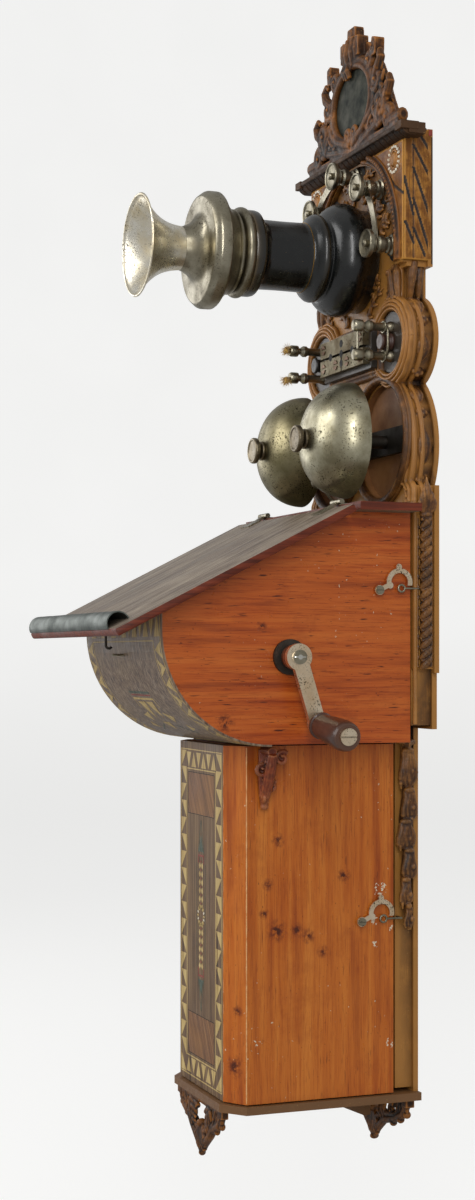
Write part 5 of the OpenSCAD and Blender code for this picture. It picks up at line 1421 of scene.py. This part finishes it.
def apron(name, y, thick, half, node):
    """A pierced skirt of scrolls, deepest at its middle."""
    shape = Shape()
    top = SHELF_BOTTOM
    shape.tube([(1, -y, top - 2.6), (half - 2, -y, top - 2.6)], 2.5, 1.0)
    for x, z, r, start, hand in ((half - 7, -7.5, 5.2, 40, 1), (half - 19, -10, 5.6, 140, -1),
                                 (half - 31, -15, 6.0, 60, 1), (15, -13, 6.4, 150, -1)):
        shape.volute(x, top + z, r, start, 1.3, y, 2.8, hand)
    shape.tube([(half - 4, -y, top - 4), (half - 12, -y, top - 14), (half - 26, -y, top - 20),
                (20, -y, top - 25), (8, -y, top - 34), (0, -y, top - 43)], [2.6, 3.3, 3.3, 3.2, 3.0, 2.0])
    shape.tube([(half - 16, -y, top - 3), (half - 22, -y, top - 16), (16, -y, top - 20), (6, -y, top - 26)],
               [3.0, 2.9, 2.9, 2.6])
    shape.leaf((22, top - 6), (12, top - 24), 14, y + 1, 4, 2)
    for x, z in ((half - 6, -13), (half - 17, -19), (half - 30, -24)):
        shape.ball((x, -y, top + z), (2.7, thick * 0.42, 3.0), 7, 9)
    for k in range(4):
        a = radians(-90 + (k + 0.5) * 22)
        shape.tube([(0.6, -y, top - 20), (10 * cos(a), -y - 1, top - 27 + 11 * sin(a)),
                    (12 * cos(a), -y, top - 27 + 15.5 * sin(a))], [1.8, 2.4, 1.8])
    shape.mirror()
    shape.ball((0, -y - 0.5, top - 20), (3.4, thick * 0.7, 3.6))
    shape.ball((0, -y, top - 42.4), (2.4, thick * 0.5, 2.8))
    for x in (half - 8, -half):
        shape.block((x, -y - thick * 0.45, top - 6.5), (x + 8, -y + thick * 0.45, top))
    shape.carve(name, 0.65, "crest", "root", "crest_wood", (node,), 1)


def edge_lights():
    """A pale line where the chamfers of the lower box meet its sides: worn pine, and a painted highlight
    where the edge catches the light.
    """
    shape = Shape()
    for x, y, r in ((CASE_HALF - 0.15, CASE_SIDE_FRONT - 0.1, 0.45),
                    (PANEL_HALF + 0.2, CASE_FRONT - 0.45, 0.3)):
        path = []
        for i in range(61):
            z = CASE_BOTTOM + 1 + (CASE_TOP - CASE_BOTTOM - 2) * i / 60
            path.append((x + 0.05 * sin(i * 1.3), -y, z))
        shape.tube(path, [r * (0.7 + 0.4 * abs(sin(i * 0.9))) for i in range(61)], 1.0, 6)
    shape.mirror()
    shape.piece("worn_edge_highlights", "worn", "lower_box", "pine")


def crank_sleeve():
    """A copper sleeve on the shaft of the crank, and the screw head at its end."""
    sleeve = [(8.42, 100.9), (8.75, 101.1), (8.75, 104.6), (8.5, 104.9), (8.5, 109.8), (8.42, 109.8)]
    turned("crank_collar", [(sleeve, (0, -CRANK_Y, 0), (1, 0, 0))], "copper", "crank", "copper_bush")
    boss = [(0.1, 114.7), (5.3, 114.7), (5.3, 115.3), (4.4, 116.1), (2.6, 116.55), (0.1, 116.7)]
    turned("crank_screw_head", [(boss, (0, -CRANK_Y, 0), (1, 0, 0))], "bright", "crank", "nickel")


curved_inlay()
front_inlay()
edge_lights()
crank_sleeve()
lid()
curl_bracket()
knob()
apron("front_skirt", 152, 6, 51, "front_apron")
apron("rear_skirt", 7.2, 8, 65.5, "rear_apron")
for node, look in (("upper_case", "pine_upper"), ("lower_case", "pine_lower"), ("curved_front", "curved"),
                   ("top_board", "top"), ("lower_front", "ground"), ("base_shelf", "shelf")):
    paint(node, look)
paint_edges("top_board", "mahogany")


# ------------------------------------------------------------------ floor, lights, camera
def studio():
    """A round paper floor and wall, in metres, kept out of reflections and bounced light."""
    floor_z, flat_r, bend_r = -0.62, 5.5, 2.5
    wall_r = flat_r + bend_r
    profile = [(0.0001, floor_z), (3.0, floor_z), (flat_r, floor_z)]
    profile += arc(flat_r, floor_z + bend_r, bend_r, -84, 0, 14) + [(wall_r, 4.5), (wall_r, 7.5)]
    rows = [[(r * cos(t), r * sin(t), z) for t in round_angles(96)] for r, z in profile]
    sweep = Shape()
    sweep.grid(rows, caps=False)
    mesh = bpy.data.meshes.new("studio_floor")
    mesh.from_pydata(sweep.points, [], sweep.faces)
    mesh.shade_smooth()
    floor = bpy.data.objects.new("studio_floor", mesh)
    bpy.context.scene.collection.objects.link(floor)
    shade = Shade("studio_paper", Emission_Color=(1, 1, 0.99, 1), Emission_Strength=0.66)
    at = shade.place()
    paper = shade.ramp(shade.noise(at, 0.002, 2), (0.3, linear(184, 184, 183)), (0.7, linear(190, 190, 189)))
    split = shade.node("SeparateXYZ")
    shade.plug(split.inputs[0], at)
    up = shade.calc("DIVIDE", shade.calc("ADD", split.outputs["Z"], 620), 1400)
    tone = shade.mix(shade.ramp(up, (0.0, 1.0), (0.6, 0.0)), paper, linear(150, 150, 149))
    mesh.materials.append(shade.finish(tone, 0.9))
    floor.visible_diffuse = False
    floor.visible_glossy = False


# The place that the lights face, in metres.
LIT_POINT = (0, -0.1, 0.05)


def light(name, at, size, power):
    """A soft rectangular light that faces the telephone, in metres and watts."""
    lamp = bpy.data.lights.new(name, "AREA")
    lamp.shape = "RECTANGLE"
    lamp.size, lamp.size_y = size
    lamp.energy = power
    obj = bpy.data.objects.new(name, lamp)
    bpy.context.scene.collection.objects.link(obj)
    obj.location = at
    obj.rotation_euler = (Vector(LIT_POINT) - Vector(at)).to_track_quat("-Z", "Y").to_euler()


def camera_and_world():
    """A camera level with the crank, well to the right as in the photograph, and an even white sky."""
    cam = bpy.data.cameras.new("camera")
    cam.lens, cam.sensor_width = 56.79, 36
    cam.shift_y = 0.0475
    obj = bpy.data.objects.new("camera", cam)
    bpy.context.scene.collection.objects.link(obj)
    obj.location = (1.3689, -0.635, 0.0)
    obj.rotation_euler = (radians(90), 0, radians(69.5))
    bpy.context.scene.camera = obj
    world = bpy.data.worlds.new("soft_sky")
    world.use_nodes = True
    world.node_tree.nodes["Background"].inputs["Color"].default_value = (1, 1, 1, 1)
    world.node_tree.nodes["Background"].inputs["Strength"].default_value = 0.40
    bpy.context.scene.world = world
    bpy.context.scene.view_settings.view_transform = "Standard"


studio()
light("key", (-0.6, -2.9, 1.4), (2.2, 2.2), 46)
light("side", (2.3, -1.0, 0.95), (0.42, 2.6), 30)
light("fill", (-2.4, -1.2, 0.6), (1.6, 1.6), 12)
light("rear", (0.6, 2.4, 1.6), (1.4, 1.4), 12)
camera_and_world()
